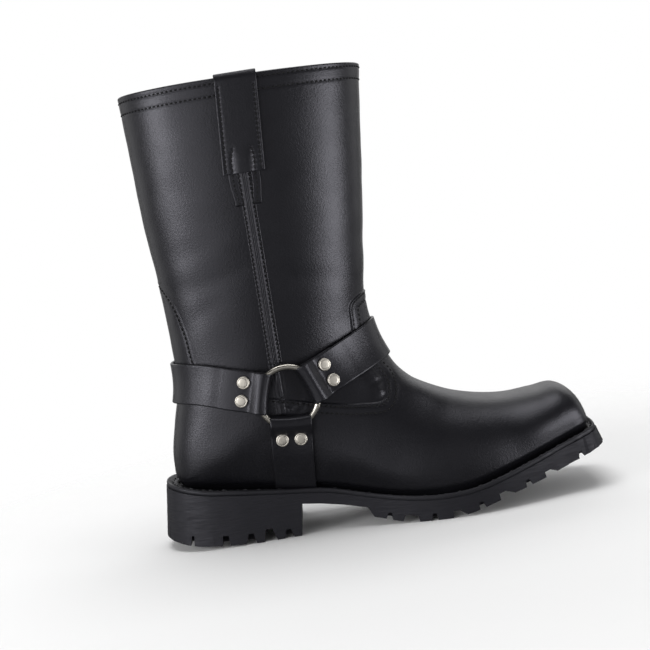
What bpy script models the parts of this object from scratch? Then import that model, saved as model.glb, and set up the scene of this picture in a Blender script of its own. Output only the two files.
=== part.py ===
"""A right harness boot: hollow pull-on upper, welted lug sole, and a strap harness on two rings.

Sizes are in millimetres and turn to metres where a mesh is made. +X points to the toe, -Y to the
outer side and +Z up. The origin is on the floor, under the middle of the boot, which is at x = MIDDLE_X
in the tables.
"""

import math
from collections import namedtuple

import bmesh
import bpy
import numpy as np
from mathutils import Vector
from mathutils.bvhtree import BVHTree

# Driving dimensions. Neighbouring pieces are left GAP apart, with CLEARANCE more over the upper's flat
# facets and FACET more inside them.
MM = 0.001
MIDDLE_X = -0.9
GAP = 0.3
CLEARANCE = 0.1
FACET = 0.8
WALL = 1.8
OVERLAY = 1.2
COLLAR_BAND_PROUD = 0.7
WELT_THICKNESS = 3.2
WELT_SETBACK = 0.5
WELT_INSIDE = OVERLAY + GAP + CLEARANCE
INSOLE_THICKNESS = 3.0
STRAP_WIDTH = 28.0
STRAP_THICKNESS = 2.0
RING_CENTRE = (-56.0, 98.0)
RING_RADIUS = 20.4
RING_WIRE = 4.2
RIVET_DIAMETER = 8.8
RIVET_HEIGHT = 1.6
RIVET_RIM = 1.0
RIVET_WALL_SHARE = 0.6
RIVET_SPACING = 12.7
PULL_STRAP_WIDTH = 28.0
PULL_STRAP_THICKNESS = 2.0
SEAM_WIDTH = 9.0
SEAM_HEIGHT = 1.2
SEAM_RIDGE = 1.1
# The seam's section: share of its half width, and 1 where the ridge stands
SEAM_SECTION = [(-1.0, 0), (-0.42, 0), (-0.3, 1), (0.3, 1), (0.42, 0), (1.0, 0)]

# How finely round pieces are divided, and how far helper shapes reach past the boot
UPPER_AROUND = 32
INSIDE_AROUND = 24
RING_STEPS = 20
WIRE_STEPS = 8
RIVET_STEPS = 12
STRAP_COLUMNS = 4
HEEL_STRAP_STEPS = 21
INSTEP_STRAP_STEPS = 19
BESIDE = 90.0
BELOW = -40.0
PAST_COLLAR = 20.0

# The last, toe to collar. Each section runs from a point of the top line (vamp ridge, instep, shaft
# front) to a point of the base line (feather edge, heel, shaft back).
Section = namedtuple(
    "Section", "top_x top_z base_x base_z half seat swing widest crown corner"
)
LAST = [
    Section(147.1, 42.0, 146.8, 35.5, 15.0, 15.0, 4.2, 0.50, 2.8, 2.8),
    Section(146.1, 48.4, 145.8, 33.8, 23.0, 23.0, 4.2, 0.46, 2.8, 3.2),
    Section(143.3, 56.6, 143.6, 31.8, 27.8, 27.6, 4.2, 0.42, 2.8, 4.2),
    Section(139.2, 64.4, 139.2, 30.0, 30.6, 30.2, 4.2, 0.40, 2.8, 5.0),
    Section(131.8, 69.8, 131.5, 27.5, 33.3, 32.8, 4.2, 0.38, 2.7, 5.0),
    Section(116.0, 69.3, 116.5, 23.5, 38.3, 37.3, 3.8, 0.36, 2.5, 5.0),
    Section(96.0, 68.6, 95.0, 17.0, 43.5, 42.5, 2.8, 0.33, 2.3, 5.0),
    Section(76.0, 71.4, 72.0, 11.5, 47.3, 46.3, 1.0, 0.31, 2.2, 5.0),
    Section(60.0, 75.9, 50.0, 8.0, 48.3, 47.3, -0.8, 0.30, 2.15, 5.0),
    Section(46.0, 82.1, 22.0, 8.5, 45.8, 43.0, -2.5, 0.31, 2.1, 5.0),
    Section(33.0, 89.5, -8.0, 13.0, 41.5, 34.0, -3.6, 0.35, 2.1, 4.5),
    Section(25.5, 96.4, -36.0, 19.5, 39.0, 29.0, -3.4, 0.41, 2.1, 4.2),
    Section(18.5, 105.4, -66.0, 24.5, 38.5, 30.5, -1.8, 0.45, 2.1, 4.0),
    Section(13.5, 116.0, -96.0, 29.0, 38.8, 32.5, -0.5, 0.48, 2.1, 3.6),
    Section(9.5, 127.5, -124.0, 32.5, 39.2, 33.5, 0.0, 0.48, 2.1, 3.0),
    Section(7.2, 139.0, -142.0, 38.0, 39.6, 34.5, 0.0, 0.48, 2.1, 2.6),
    Section(6.2, 150.0, -144.4, 60.0, 39.9, 36.5, 0.0, 0.48, 2.15, 2.4),
    Section(7.2, 161.0, -139.7, 86.0, 40.4, 38.5, 0.0, 0.48, 2.2, 2.3),
    Section(9.0, 173.0, -133.6, 110.0, 41.2, 40.0, 0.0, 0.48, 2.2, 2.25),
    Section(11.5, 193.0, -133.0, 140.0, 42.5, 42.5, 0.0, 0.49, 2.2, 2.2),
    Section(14.8, 215.0, -134.5, 180.0, 44.5, 44.5, 0.0, 0.50, 2.2, 2.2),
    Section(19.0, 247.0, -138.3, 225.0, 47.0, 47.0, 0.0, 0.50, 2.2, 2.2),
    Section(23.5, 284.0, -140.0, 277.0, 49.0, 49.0, 0.0, 0.50, 2.2, 2.2),
    Section(26.1, 304.0, -141.0, 304.0, 49.8, 49.8, 0.0, 0.50, 2.2, 2.2),
    Section(27.4, 313.0, -141.3, 314.6, 50.2, 50.2, 0.0, 0.50, 2.2, 2.2),
]
BAND_ROW = len(LAST) - 2
BENT_ROWS = range(5, 19)
FOOT_ROWS = range(17)
SOLE_REACH = (-165.0, 165.0)
SOLE_STEPS = 25
COLLAR_Z = (LAST[-1].top_z + LAST[-1].base_z) / 2

# Top edge of the sole from above, heel to toe: distance of the outer and the inner edge from the
# middle, and how far the side leans out for each millimetre down
Edge = namedtuple("Edge", "x outer inner lean")
SOLE_EDGE = [
    Edge(-152.6, 0.0, 0.0, 0.15),
    Edge(-148.0, 19.0, 19.0, 0.14),
    Edge(-140.3, 27.5, 27.5, 0.12),
    Edge(-127.0, 34.3, 34.3, 0.08),
    Edge(-108.0, 37.0, 37.0, 0.05),
    Edge(-84.0, 36.8, 35.8, 0.04),
    Edge(-60.0, 36.0, 32.5, 0.03),
    Edge(-34.0, 36.8, 29.8, 0.03),
    Edge(-8.0, 41.5, 32.5, 0.04),
    Edge(18.0, 48.5, 41.0, 0.05),
    Edge(40.0, 53.0, 49.0, 0.05),
    Edge(60.0, 54.0, 53.3, 0.05),
    Edge(74.0, 52.5, 54.0, 0.05),
    Edge(90.0, 48.8, 53.0, 0.06),
    Edge(108.0, 43.2, 49.8, 0.08),
    Edge(124.0, 37.6, 45.5, 0.12),
    Edge(139.0, 33.0, 41.2, 0.18),
    Edge(147.4, 28.8, 37.2, 0.27),
    Edge(150.6, 21.5, 30.5, 0.32),
    Edge(151.7, 11.0, 20.0, 0.34),
    Edge(151.9, -4.5, 4.5, 0.35),
]

# Side view of the sole: top of the welt, then the underside in its three stretches
Side = namedtuple("Side", "x z")
SOLE_TOP = [
    Side(-165.0, 49.8), Side(-150.0, 46.2), Side(-126.0, 41.2), Side(-100.0, 37.8), Side(-63.0, 33.0),
    Side(-38.0, 29.8), Side(-21.0, 25.4), Side(-5.0, 21.6), Side(11.0, 18.8), Side(27.0, 17.2),
    Side(43.0, 17.0), Side(60.0, 18.4), Side(78.0, 22.4), Side(98.0, 27.8), Side(120.0, 34.2),
    Side(141.0, 40.2), Side(165.0, 46.8),
]
HEEL_UNDER = [
    Side(-165.0, 10.2), Side(-152.0, 7.0), Side(-143.0, 4.9), Side(-134.0, 3.2), Side(-120.0, 1.9),
    Side(-106.0, 0.9), Side(-92.0, 0.0), Side(-62.0, 0.0),
]
WAIST_UNDER = [Side(-59.5, 21.9), Side(-46.0, 20.0), Side(-30.0, 16.8), Side(-14.5, 13.2)]
FORE_UNDER = [
    Side(-11.0, 6.2), Side(-3.0, 4.0), Side(6.0, 1.6), Side(16.0, 0.0), Side(45.0, 0.0), Side(56.0, 2.0),
    Side(66.0, 4.4), Side(75.0, 6.9), Side(84.0, 9.4), Side(95.0, 11.9), Side(108.0, 15.1),
    Side(120.0, 18.5), Side(139.0, 24.4), Side(165.0, 32.8),
]

# Lug grooves, heel to toe: width of the ceiling, how far the mouth is wider behind and in front,
# depth, and how far the groove runs in from each edge
Groove = namedtuple("Groove", "x ceiling behind before depth reach")
SIDE_GROOVES = [
    Groove(-138.0, 1.6, 0.4, 0.4, 7.0, 8.0),
    Groove(-114.5, 4.0, 0.6, 0.6, 7.0, 10.0),
    Groove(-97.0, 3.4, 1.8, 1.8, 7.0, 10.0),
    Groove(-84.2, 4.6, 1.6, 2.8, 8.5, 26.0),
    Groove(-70.7, 3.2, 1.6, 1.6, 6.0, 10.0),
    Groove(-1.0, 2.4, 1.0, 1.0, 4.6, 10.0),
    Groove(13.6, 8.4, 1.4, 1.4, 4.6, 24.0),
    Groove(29.4, 2.4, 1.0, 1.0, 4.6, 10.0),
    Groove(44.7, 4.6, 0.6, 5.0, 4.6, 24.0),
    Groove(62.4, 2.4, 1.0, 1.0, 4.6, 10.0),
    Groove(78.0, 4.6, 0.5, 5.6, 4.2, 22.0),
    Groove(96.5, 2.4, 1.0, 1.0, 4.4, 9.0),
    Groove(111.5, 4.0, 0.5, 4.6, 3.6, 20.0),
    Groove(136.4, 2.4, 0.8, 0.8, 4.0, 8.0),
]

# Tread down the middle: long grooves beside it, and cross grooves between the lugs
TREAD_HALF = 15.0
TREAD_GROOVE = 4.5
TREAD_DEPTH = 4.1
HEEL_TREAD = (-128.0, -66.0)
FORE_TREAD = (-6.0, 124.0)
TREAD_CROSSINGS = (-106.0, -84.2, 4.0, 28.0, 60.0, 92.0)

# Edge of the vamp and the counter in the side view, from the shaft front round to the shaft back
OVERLAY_EDGE = [
    (40.0, 157.0), (2.0, 156.6), (-4.5, 152.0), (-6.0, 140.0), (-5.0, 124.0), (4.0, 108.0),
    (11.5, 95.0), (9.0, 84.5), (-8.0, 84.0), (-30.0, 88.0), (-64.0, 97.0), (-98.0, 105.0),
    (-114.0, 122.0), (-119.0, 150.0), (-126.0, 174.0), (-138.0, 190.0), (-170.0, 198.0),
]

# Harness: where each strap leaves the ring, as an angle of the side view, and where its rivets sit
HEEL_STRAP_ANGLE = 164.5
HEEL_STRAP_BEND = 9.3
INSTEP_STRAP_ANGLE = 21.5
SOLE_STRAP_ANGLE = 265.5
STRAP_RIVETS = 30.8
SOLE_STRAP_RIVETS = 29.2
FOLD_FROM_RING = 13.2
FOLD_BOW = 1.1
DOUBLED_FROM = 24.5
DOUBLED_TO = 41.0
SINGLE_FROM = 43.5
RING_PLAY = 0.35
STRAP_SEAT = OVERLAY + GAP + CLEARANCE
THINNED_UNDER_RING = 0.65
HEEL_STRAP_TURN = 50.0
INSTEP_STRAP_TURN = 47.0
SOLE_STRAP_RUN = 62.0
# The fold's face: way out from the nose, and share of its full height over the ring
FOLD_FACE = [(0.0, 0.1), (1.5, 0.75), (4.0, 1.0)]
CREST_PAST_WIRE = 0.8

# Pull straps and side seams, as x of their middle at two heights
PULL_STRAP_TOP = (-57.0, 312.0)
PULL_STRAP_LOW = (-61.0, 251.0)
PULL_STRAP_OUTSIDE_Z = (251.0, 262.0, 282.0, 302.0, 311.0)
PULL_STRAP_INSIDE_Z = (311.0, 298.0, 284.0)
SEAM_TOP = (-61.0, 249.0)
SEAM_LOW = (-61.6, 122.0)


def hermite(table, at):
    """Smooth curve through the rows of a table, whose first column is the way along."""
    table = np.asarray(table, float)
    at = np.asarray(at, float)
    along, values = table[:, 0], table[:, 1:]
    step = np.diff(along)[:, None]
    slope = np.diff(values, axis=0) / step
    tangent = np.empty_like(values)
    tangent[1:-1] = (slope[:-1] * step[1:] + slope[1:] * step[:-1]) / (step[1:] + step[:-1])
    tangent[0], tangent[-1] = slope[0], slope[-1]
    i = np.clip(np.searchsorted(along, at, side="right") - 1, 0, len(along) - 2)
    h = (along[i + 1] - along[i])[..., None]
    t = (at - along[i])[..., None] / h
    return (
        (2 * t**3 - 3 * t**2 + 1) * values[i]
        + (t**3 - 2 * t**2 + t) * h * tangent[i]
        + (3 * t**2 - 2 * t**3) * values[i + 1]
        + (t**3 - t**2) * h * tangent[i + 1]
    )


def last_table():
    """The section rows, each with its way along the last as a first column."""
    rows = np.array(LAST)
    ends = rows[:, :4].reshape(-1, 2, 2)
    travel = np.linalg.norm(np.diff(ends, axis=0), axis=2).mean(axis=1)
    return np.column_stack([np.concatenate([[0], np.cumsum(travel)]), rows])


LAST_TABLE = last_table()
ROW_AT = LAST_TABLE[:, 0]


def last_points(at, angle):
    """Points of the bare last: angle 0 is on the top line, pi on the base line, the outer side between."""
    row = Section(*np.moveaxis(hermite(LAST_TABLE, at), -1, 0))
    cos, sin = np.cos(angle), np.sin(angle)
    upper = cos >= 0
    power = 2 / np.where(upper, row.crown, row.corner)
    reach = np.abs(cos) ** power
    along = np.where(upper, row.widest + (1 - row.widest) * reach, row.widest * (1 - reach))
    rise = np.clip(along / row.widest, 0, 1)
    half = row.seat + (row.half - row.seat) * rise**2 * (3 - 2 * rise)
    across = half * np.abs(sin) ** power * -np.sign(sin)
    return np.stack(
        [
            row.base_x + (row.top_x - row.base_x) * along,
            row.swing + across,
            row.base_z + (row.top_z - row.base_z) * along,
        ],
        axis=-1,
    )


def form_loops(offset, stations, around):
    """Loops round the last, moved out by offset along its own normals."""
    at, angle = np.meshgrid(stations, np.arange(around) * 2 * math.pi / around, indexing="ij")
    small = 0.02
    ahead = last_points(np.minimum(at + small * 10, ROW_AT[-1]), angle)
    behind = last_points(np.maximum(at - small * 10, ROW_AT[0]), angle)
    normal = np.cross(last_points(at, angle + small) - last_points(at, angle - small), ahead - behind)
    normal /= np.linalg.norm(normal, axis=-1, keepdims=True)
    points = last_points(at, angle)
    outward = np.sign((normal * (points - points.mean(axis=1, keepdims=True))).sum())
    return points + outward * offset * normal


def stations_between(rows, split, bent_split=None):
    """Stations at each row of a range of rows, and split - 1 more in each stretch. The stretches that
    bend most can have a split of their own."""
    stretches = []
    for i in rows:
        parts = bent_split if bent_split and i in BENT_ROWS else split
        stretches.append(np.linspace(ROW_AT[i], ROW_AT[i + 1], parts, endpoint=False))
    return np.concatenate([*stretches, [ROW_AT[rows[-1] + 1]]])


def raised_loops(loops, height):
    """The loops with one more above the last, so that a cutter passes the collar."""
    top = loops[-1] + np.array([0, 0, height])
    return np.concatenate([loops, top[None]])


def material(name, colour, roughness, metallic=0.0):
    made = bpy.data.materials.new(name)
    made.use_nodes = True
    shader = made.node_tree.nodes["Principled BSDF"]
    shader.inputs["Base Color"].default_value = (*colour, 1)
    shader.inputs["Roughness"].default_value = roughness
    shader.inputs["Metallic"].default_value = metallic
    return made


def loft(name, loops, finish=None, endless=False):
    """A closed solid through loops of points. Endless loops join last to first, others are capped."""
    loops = (np.asarray(loops, float) - (MIDDLE_X, 0, 0)) * MM
    count, around = loops.shape[:2]
    shape = bmesh.new()
    verts = [[shape.verts.new(point) for point in loop] for loop in loops]
    for i in range(count if endless else count - 1):
        lower, upper = verts[i], verts[(i + 1) % count]
        for j in range(around):
            k = (j + 1) % around
            shape.faces.new((lower[j], lower[k], upper[k], upper[j]))
    if not endless:
        shape.faces.new(verts[0][::-1])
        shape.faces.new(verts[-1])
    bmesh.ops.connect_verts_nonplanar(shape, angle_limit=math.radians(0.01), faces=shape.faces)
    bmesh.ops.recalc_face_normals(shape, faces=shape.faces)
    mesh = bpy.data.meshes.new(name)
    shape.to_mesh(mesh)
    shape.free()
    made = bpy.data.objects.new(name, mesh)
    bpy.context.collection.objects.link(made)
    if finish:
        mesh.materials.append(finish)
        mesh.shade_smooth()
        mesh.set_sharp_from_angle(angle=math.radians(35))
    return made


def boolean(target, helper, operation):
    """Joins, cuts or keeps a part of the target with a helper, which is left out of the part."""
    modifier = target.modifiers.new(helper.name, "BOOLEAN")
    modifier.operation = operation
    modifier.solver = "EXACT"
    modifier.object = helper
    helper.hide_render = True
    helper.display_type = "WIRE"
    helper.hide_set(True)


def across_prism(name, profile, left, right):
    """A prism across the boot on a profile of (x, z) points."""
    return loft(name, [[(x, y, z) for x, z in profile] for y in (left, right)])


def sole_top(x):
    return hermite(SOLE_TOP, x)[..., 0]


def outsole_top(x):
    return sole_top(x) - WELT_THICKNESS - GAP


def sole_outline(setback=0.0, split=2):
    """The sole's top edge from above, moved in by setback, with its outward direction and its lean."""
    outer = [(row.x, -row.outer, row.lean) for row in SOLE_EDGE]
    inner = [(row.x, row.inner, row.lean) for row in SOLE_EDGE[-2:0:-1]]
    ring = np.array(inner[-1:] + outer + inner + outer[:2])
    way = np.concatenate([[0], np.cumsum(np.linalg.norm(np.diff(ring[:, :2], axis=0), axis=1))])
    spans = range(1, len(way) - 2)
    at = np.concatenate([np.linspace(way[i], way[i + 1], split, endpoint=False) for i in spans])
    points = hermite(np.column_stack([way, ring]), at)
    along = np.roll(points[:, :2], -1, axis=0) - np.roll(points[:, :2], 1, axis=0)
    along /= np.linalg.norm(along, axis=1, keepdims=True)
    outward = np.column_stack([along[:, 1], -along[:, 0]])
    return points[:, :2] - setback * outward, outward, points[:, 2:]


def sole_block(name, setback=0.0):
    """A block with the sole's outline, whose sides lean as the sole's do."""
    edge, outward, lean = sole_outline(setback)
    drop = sole_top(edge[:, :1])
    loops = []
    for z in (BELOW, LAST[2].top_z):
        level = edge + outward * lean * (drop - z)
        loops.append(np.column_stack([level, np.full(len(level), z)]))
    return loft(name, loops)


def sole_slab(name, top, bottom, setback, finish):
    """The stretch of the sole's outline between two curves of the side view."""
    x = np.linspace(*SOLE_REACH, SOLE_STEPS)
    profile = [*zip(x, bottom(x)), *zip(x[::-1], top(x[::-1]))]
    slab = sole_block(name, setback)
    slab.data.materials.append(finish)
    boolean(slab, across_prism(name + "_side", profile, -BESIDE, BESIDE), "INTERSECT")
    return slab


def under_at(x):
    """Height and slope of the walking face at x."""
    rows = np.array(HEEL_UNDER if x <= HEEL_UNDER[-1].x else FORE_UNDER)
    step = 2.0
    before, here, after = np.interp([x - step, x, x + step], rows[:, 0], rows[:, 1])
    return here, math.atan((after - before) / (2 * step))


def groove_profile(groove):
    """Side view of a groove, square to the walking face, with its mouth carried on below that face."""
    z, slope = under_at(groove.x)
    below = 4.0
    flare = 1 + below / groove.depth
    half = groove.ceiling / 2
    corners = [
        (-half - groove.behind * flare, -below),
        (half + groove.before * flare, -below),
        (half, groove.depth),
        (-half, groove.depth),
    ]
    cos, sin = math.cos(slope), math.sin(slope)
    return [(groove.x + u * cos - v * sin, z + u * sin + v * cos) for u, v in corners]


def edge_at(x, side):
    """The sole's outer edge (side -1) or inner edge (side 1) at x."""
    rows = np.array(SOLE_EDGE)
    return side * np.interp(x, rows[:, 0], rows[:, 1 if side < 0 else 2])


def tread_cutters():
    """Two long grooves and the cross grooves of the lugs down the middle, for heel and forefoot."""
    half = TREAD_GROOVE / 2
    for part, (back, front), under in (("heel", HEEL_TREAD, HEEL_UNDER), ("fore", FORE_TREAD, FORE_UNDER)):
        x = np.array([back, *[row.x for row in under if back < row.x < front], front])
        low = np.array([under_at(at)[0] for at in x])
        profile = [(back, BELOW), (front, BELOW), *zip(x[::-1], low[::-1] + TREAD_DEPTH)]
        for side in (-1, 1):
            at = side * TREAD_HALF
            yield across_prism(f"tread_{part}_{side:+d}", profile, at - half, at + half)
    for at in TREAD_CROSSINGS:
        shape = groove_profile(Groove(at, TREAD_GROOVE, 0.4, 0.4, TREAD_DEPTH - 0.3, 0))
        yield across_prism(f"tread_cross_{at:+.0f}", shape, -TREAD_HALF, TREAD_HALF)


def build_outsole(finish):
    x = np.linspace(*SOLE_REACH, SOLE_STEPS)[::-1]
    profile = [*HEEL_UNDER, *WAIST_UNDER, *FORE_UNDER, *zip(x, outsole_top(x))]
    outsole = sole_block("outsole")
    outsole.data.materials.append(finish)
    boolean(outsole, across_prism("outsole_side", profile, -BESIDE, BESIDE), "INTERSECT")
    for groove in SIDE_GROOVES:
        shape = groove_profile(groove)
        for side in (-1, 1):
            ends = sorted((edge_at(groove.x, side) - side * groove.reach, side * BESIDE))
            cutter = across_prism(f"groove_{groove.x:+.0f}_{side:+d}", shape, *ends)
            boolean(outsole, cutter, "DIFFERENCE")
    for cutter in tread_cutters():
        boolean(outsole, cutter, "DIFFERENCE")


def build_upper(finish):
    """Outer form with its raised vamp, counter and collar band, less the inner form and the sole."""
    below = stations_between(range(BAND_ROW), 1, 2)
    band = ROW_AT[BAND_ROW:]
    lower = form_loops(0, below, UPPER_AROUND)
    upper_band = form_loops(COLLAR_BAND_PROUD, band, UPPER_AROUND)
    upper = loft("upper", np.concatenate([lower, upper_band]), finish)

    overlay = loft("overlay_form", form_loops(OVERLAY, below, UPPER_AROUND))
    edge = np.array(OVERLAY_EDGE)
    way = np.concatenate([[0], np.cumsum(np.linalg.norm(np.diff(edge, axis=0), axis=1))])
    smooth_edge = hermite(np.column_stack([way, edge]), np.linspace(0, way[-1], 60))
    back, front = SOLE_REACH
    region = [*smooth_edge, (back, BELOW), (front, BELOW), (front, edge[0, 1])]
    boolean(overlay, across_prism("overlay_region", region, -BESIDE, BESIDE), "INTERSECT")
    boolean(upper, overlay, "UNION")

    inner = form_loops(-WALL, stations_between(range(len(LAST) - 1), 1), INSIDE_AROUND)
    boolean(upper, loft("upper_inside", raised_loops(inner, PAST_COLLAR)), "DIFFERENCE")

    x = np.linspace(*SOLE_REACH, SOLE_STEPS)[::-1]
    below_sole = [(SOLE_REACH[0], BELOW), (SOLE_REACH[1], BELOW), *zip(x, outsole_top(x) + GAP)]
    boolean(upper, across_prism("upper_below", below_sole, -BESIDE, BESIDE), "DIFFERENCE")


def build_insole(finish):
    insole = sole_slab(
        "insole",
        lambda x: outsole_top(x) + GAP + INSOLE_THICKNESS,
        lambda x: outsole_top(x) + GAP,
        0,
        finish,
    )
    inside = form_loops(-WALL - GAP, stations_between(FOOT_ROWS, 1), INSIDE_AROUND)
    boolean(insole, loft("insole_outline", inside), "INTERSECT")


def form_tree(offset):
    """A search tree on a fine copy of the last, moved out by offset, with its toe closed."""
    around = 96
    loops = form_loops(offset, stations_between(range(len(LAST) - 1), 4), around)
    faces = [range(around)]
    for i in range(len(loops) - 1):
        for j in range(around):
            k = (j + 1) % around
            faces.append((i * around + j, i * around + k, (i + 1) * around + k, (i + 1) * around + j))
    return BVHTree.FromPolygons(loops.reshape(-1, 3).tolist(), faces)


def way(angle):
    """Unit vector of the side view at this angle from +X."""
    return np.array([math.cos(angle), 0, math.sin(angle)])


def on_form(tree, origin, direction):
    """Where a ray from inside leaves the form, and the form's outward normal there."""
    point, normal, _, _ = tree.ray_cast(Vector(origin), Vector(direction))
    normal = np.array(normal)
    return np.array(point), normal * np.sign(normal @ direction)


class Ring:
    """A ring of the harness, laid flat against one side of the boot: side -1 is the outer side."""

    def __init__(self, tree, side):
        self.side = side
        self.name = "outer" if side < 0 else "inner"
        turns = np.arange(RING_STEPS) * 2 * math.pi / RING_STEPS
        feet = [self.foot(tree, RING_RADIUS * math.cos(a), RING_RADIUS * math.sin(a)) for a in turns]
        self.normal = np.mean([normal for _, normal in feet], axis=0)
        self.normal /= np.linalg.norm(self.normal)
        highest = max(point @ self.normal for point, _ in feet)
        flat = np.array([RING_CENTRE[0], 0, RING_CENTRE[1]])
        self.height = highest + STRAP_THICKNESS * THINNED_UNDER_RING + RING_PLAY + RING_WIRE / 2
        self.centre = flat + (0, (self.height - flat @ self.normal) / self.normal[1], 0)

    def foot(self, tree, u, v):
        origin = (RING_CENTRE[0] + u, 0, RING_CENTRE[1] + v)
        return on_form(tree, origin, (0, self.side, 0))

    def loops(self, wire_radius):
        """Wire loops round the ring, of this wire radius."""
        forward = np.cross(self.normal, (0, 0, 1.0))
        forward /= np.linalg.norm(forward)
        upward = np.cross(forward, self.normal)
        wire = np.arange(WIRE_STEPS)[:, None] * 2 * math.pi / WIRE_STEPS
        loops = []
        for turn in np.arange(RING_STEPS) * 2 * math.pi / RING_STEPS:
            out = forward * math.cos(turn) + upward * math.sin(turn)
            round_wire = np.cos(wire) * out + np.sin(wire) * self.normal
            loops.append(self.centre + RING_RADIUS * out + wire_radius * round_wire)
        return loops


class Strap:
    """One strap of the harness, made of cross sections. It leaves the ring at an angle of the side view."""

    def __init__(self, tree, angle):
        self.tree = tree
        self.angle = math.radians(angle)
        self.v = np.linspace(-STRAP_WIDTH / 2, STRAP_WIDTH / 2, STRAP_COLUMNS)

    def seats(self, u, direction, bend=0.0):
        """Points of the strap's back across its width, u from the ring's middle, with their normals.
        The width is turned by the strap's bend."""
        found = []
        for along, across in zip(np.broadcast_to(u, self.v.shape), self.v):
            origin = np.array([RING_CENTRE[0], 0, RING_CENTRE[1]])
            origin += along * way(self.angle) + across * way(self.angle + bend + math.pi / 2)
            found.append(on_form(self.tree, origin, direction))
        return found

    def section(self, seats, layers=1):
        """A cross section that is some layers of leather thick."""
        backs = [point for point, _ in seats]
        faces = [point + layers * STRAP_THICKNESS * normal for point, normal in seats]
        return [*faces, *backs[::-1]]

    def loop_section(self, seats, ring, rise):
        """A cross section whose face stands over the ring's plane."""
        backs = [point for point, _ in seats]
        top = ring.height + rise * (RING_WIRE / 2 + RING_PLAY + STRAP_THICKNESS)
        faces = [point + (top - point @ ring.normal) * ring.normal for point in backs]
        return [*faces, *backs[::-1]]

    def ring_end(self, ring):
        """Sections of the fold round the ring, then of the doubled stretch under the rivets."""
        out = np.array([0.0, ring.side, 0.0])
        fold = FOLD_FROM_RING - FOLD_BOW * (2 * self.v / STRAP_WIDTH) ** 2
        over_ring = [(fold + from_nose, rise) for from_nose, rise in FOLD_FACE]
        over_ring.append((RING_RADIUS + CREST_PAST_WIRE, 1.0))
        made = [self.loop_section(self.seats(u, out), ring, rise) for u, rise in over_ring]
        middle = (DOUBLED_FROM + DOUBLED_TO) / 2
        for u, layers in ((DOUBLED_FROM, 2), (middle, 2), (DOUBLED_TO, 2), (SINGLE_FROM, 1)):
            made.append(self.section(self.seats(u, out), layers))
        return made

    def round_to_other_ring(self, outer, inner, turn_at, steps, bend=0.0):
        """The whole strap: outer ring, round the boot, inner ring."""
        around = []
        for turn in np.linspace(0, math.pi, steps):
            swung = math.radians(bend) * math.sin(turn)
            direction = math.sin(turn) * way(self.angle + swung) - math.cos(turn) * np.array([0.0, 1.0, 0.0])
            around.append(self.section(self.seats(turn_at, direction, swung)))
        return [*self.ring_end(outer), *around, *self.ring_end(inner)[::-1]]

    def down_to_welt(self, ring):
        """The strap from the ring down to the top of the welt."""
        out = np.array([0.0, ring.side, 0.0])
        across = self.v[:, None] * way(self.angle + math.pi / 2)
        x = RING_CENTRE[0] + across[:, 0] + SOLE_STRAP_RUN * way(self.angle)[0]
        end = (RING_CENTRE[1] + across[:, 2] - sole_top(x) - GAP) / -way(self.angle)[2]
        start = 2 * SINGLE_FROM - DOUBLED_TO
        low = []
        for share in (0.0, 0.5, 1.0):
            seats = self.seats(start + share * (end - start), out)
            low.append(self.section([(point, out) for point, _ in seats]))
        return [*self.ring_end(ring), *low]

    def rivet(self, name, ring, u, v, finish):
        """A flat rivet cap with a rounded rim, seated on the doubled strap."""
        origin = np.array([RING_CENTRE[0], 0, RING_CENTRE[1]])
        origin += u * way(self.angle) + v * way(self.angle + math.pi / 2)
        point, normal = on_form(self.tree, origin, np.array([0.0, ring.side, 0.0]))
        foot = point + normal * (2 * STRAP_THICKNESS + GAP)
        first = np.cross(normal, (0, 0, 1.0))
        first /= np.linalg.norm(first)
        second = np.cross(normal, first)
        turns = np.arange(RIVET_STEPS)[:, None] * 2 * math.pi / RIVET_STEPS
        rim = np.cos(turns) * first + np.sin(turns) * second
        radius = RIVET_DIAMETER / 2
        profile = ((radius, 0.0), (radius, RIVET_WALL_SHARE), (radius - RIVET_RIM, 1.0))
        loft(name, [foot + r * rim + h * RIVET_HEIGHT * normal for r, h in profile], finish)


def build_welt(finish):
    """A band on the sole's edge, from the sole's outline in to the upper."""
    tree = form_tree(WELT_INSIDE)
    edge, outward, _ = sole_outline(WELT_SETBACK)
    loops = []
    for (x, y), (out_x, out_y) in zip(edge, outward):
        section = []
        for drop in (0.0, WELT_THICKNESS):
            z = sole_top(x) - drop
            inner, _, _, _ = tree.ray_cast(Vector((x, y, z)), Vector((-out_x, -out_y, 0)))
            section.append([(x, y, z), (inner.x, inner.y, sole_top(inner.x) - drop)])
        (outer_top, inner_top), (outer_low, inner_low) = section
        loops.append([outer_top, outer_low, inner_low, inner_top])
    loft("welt", loops, finish, endless=True)


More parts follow.
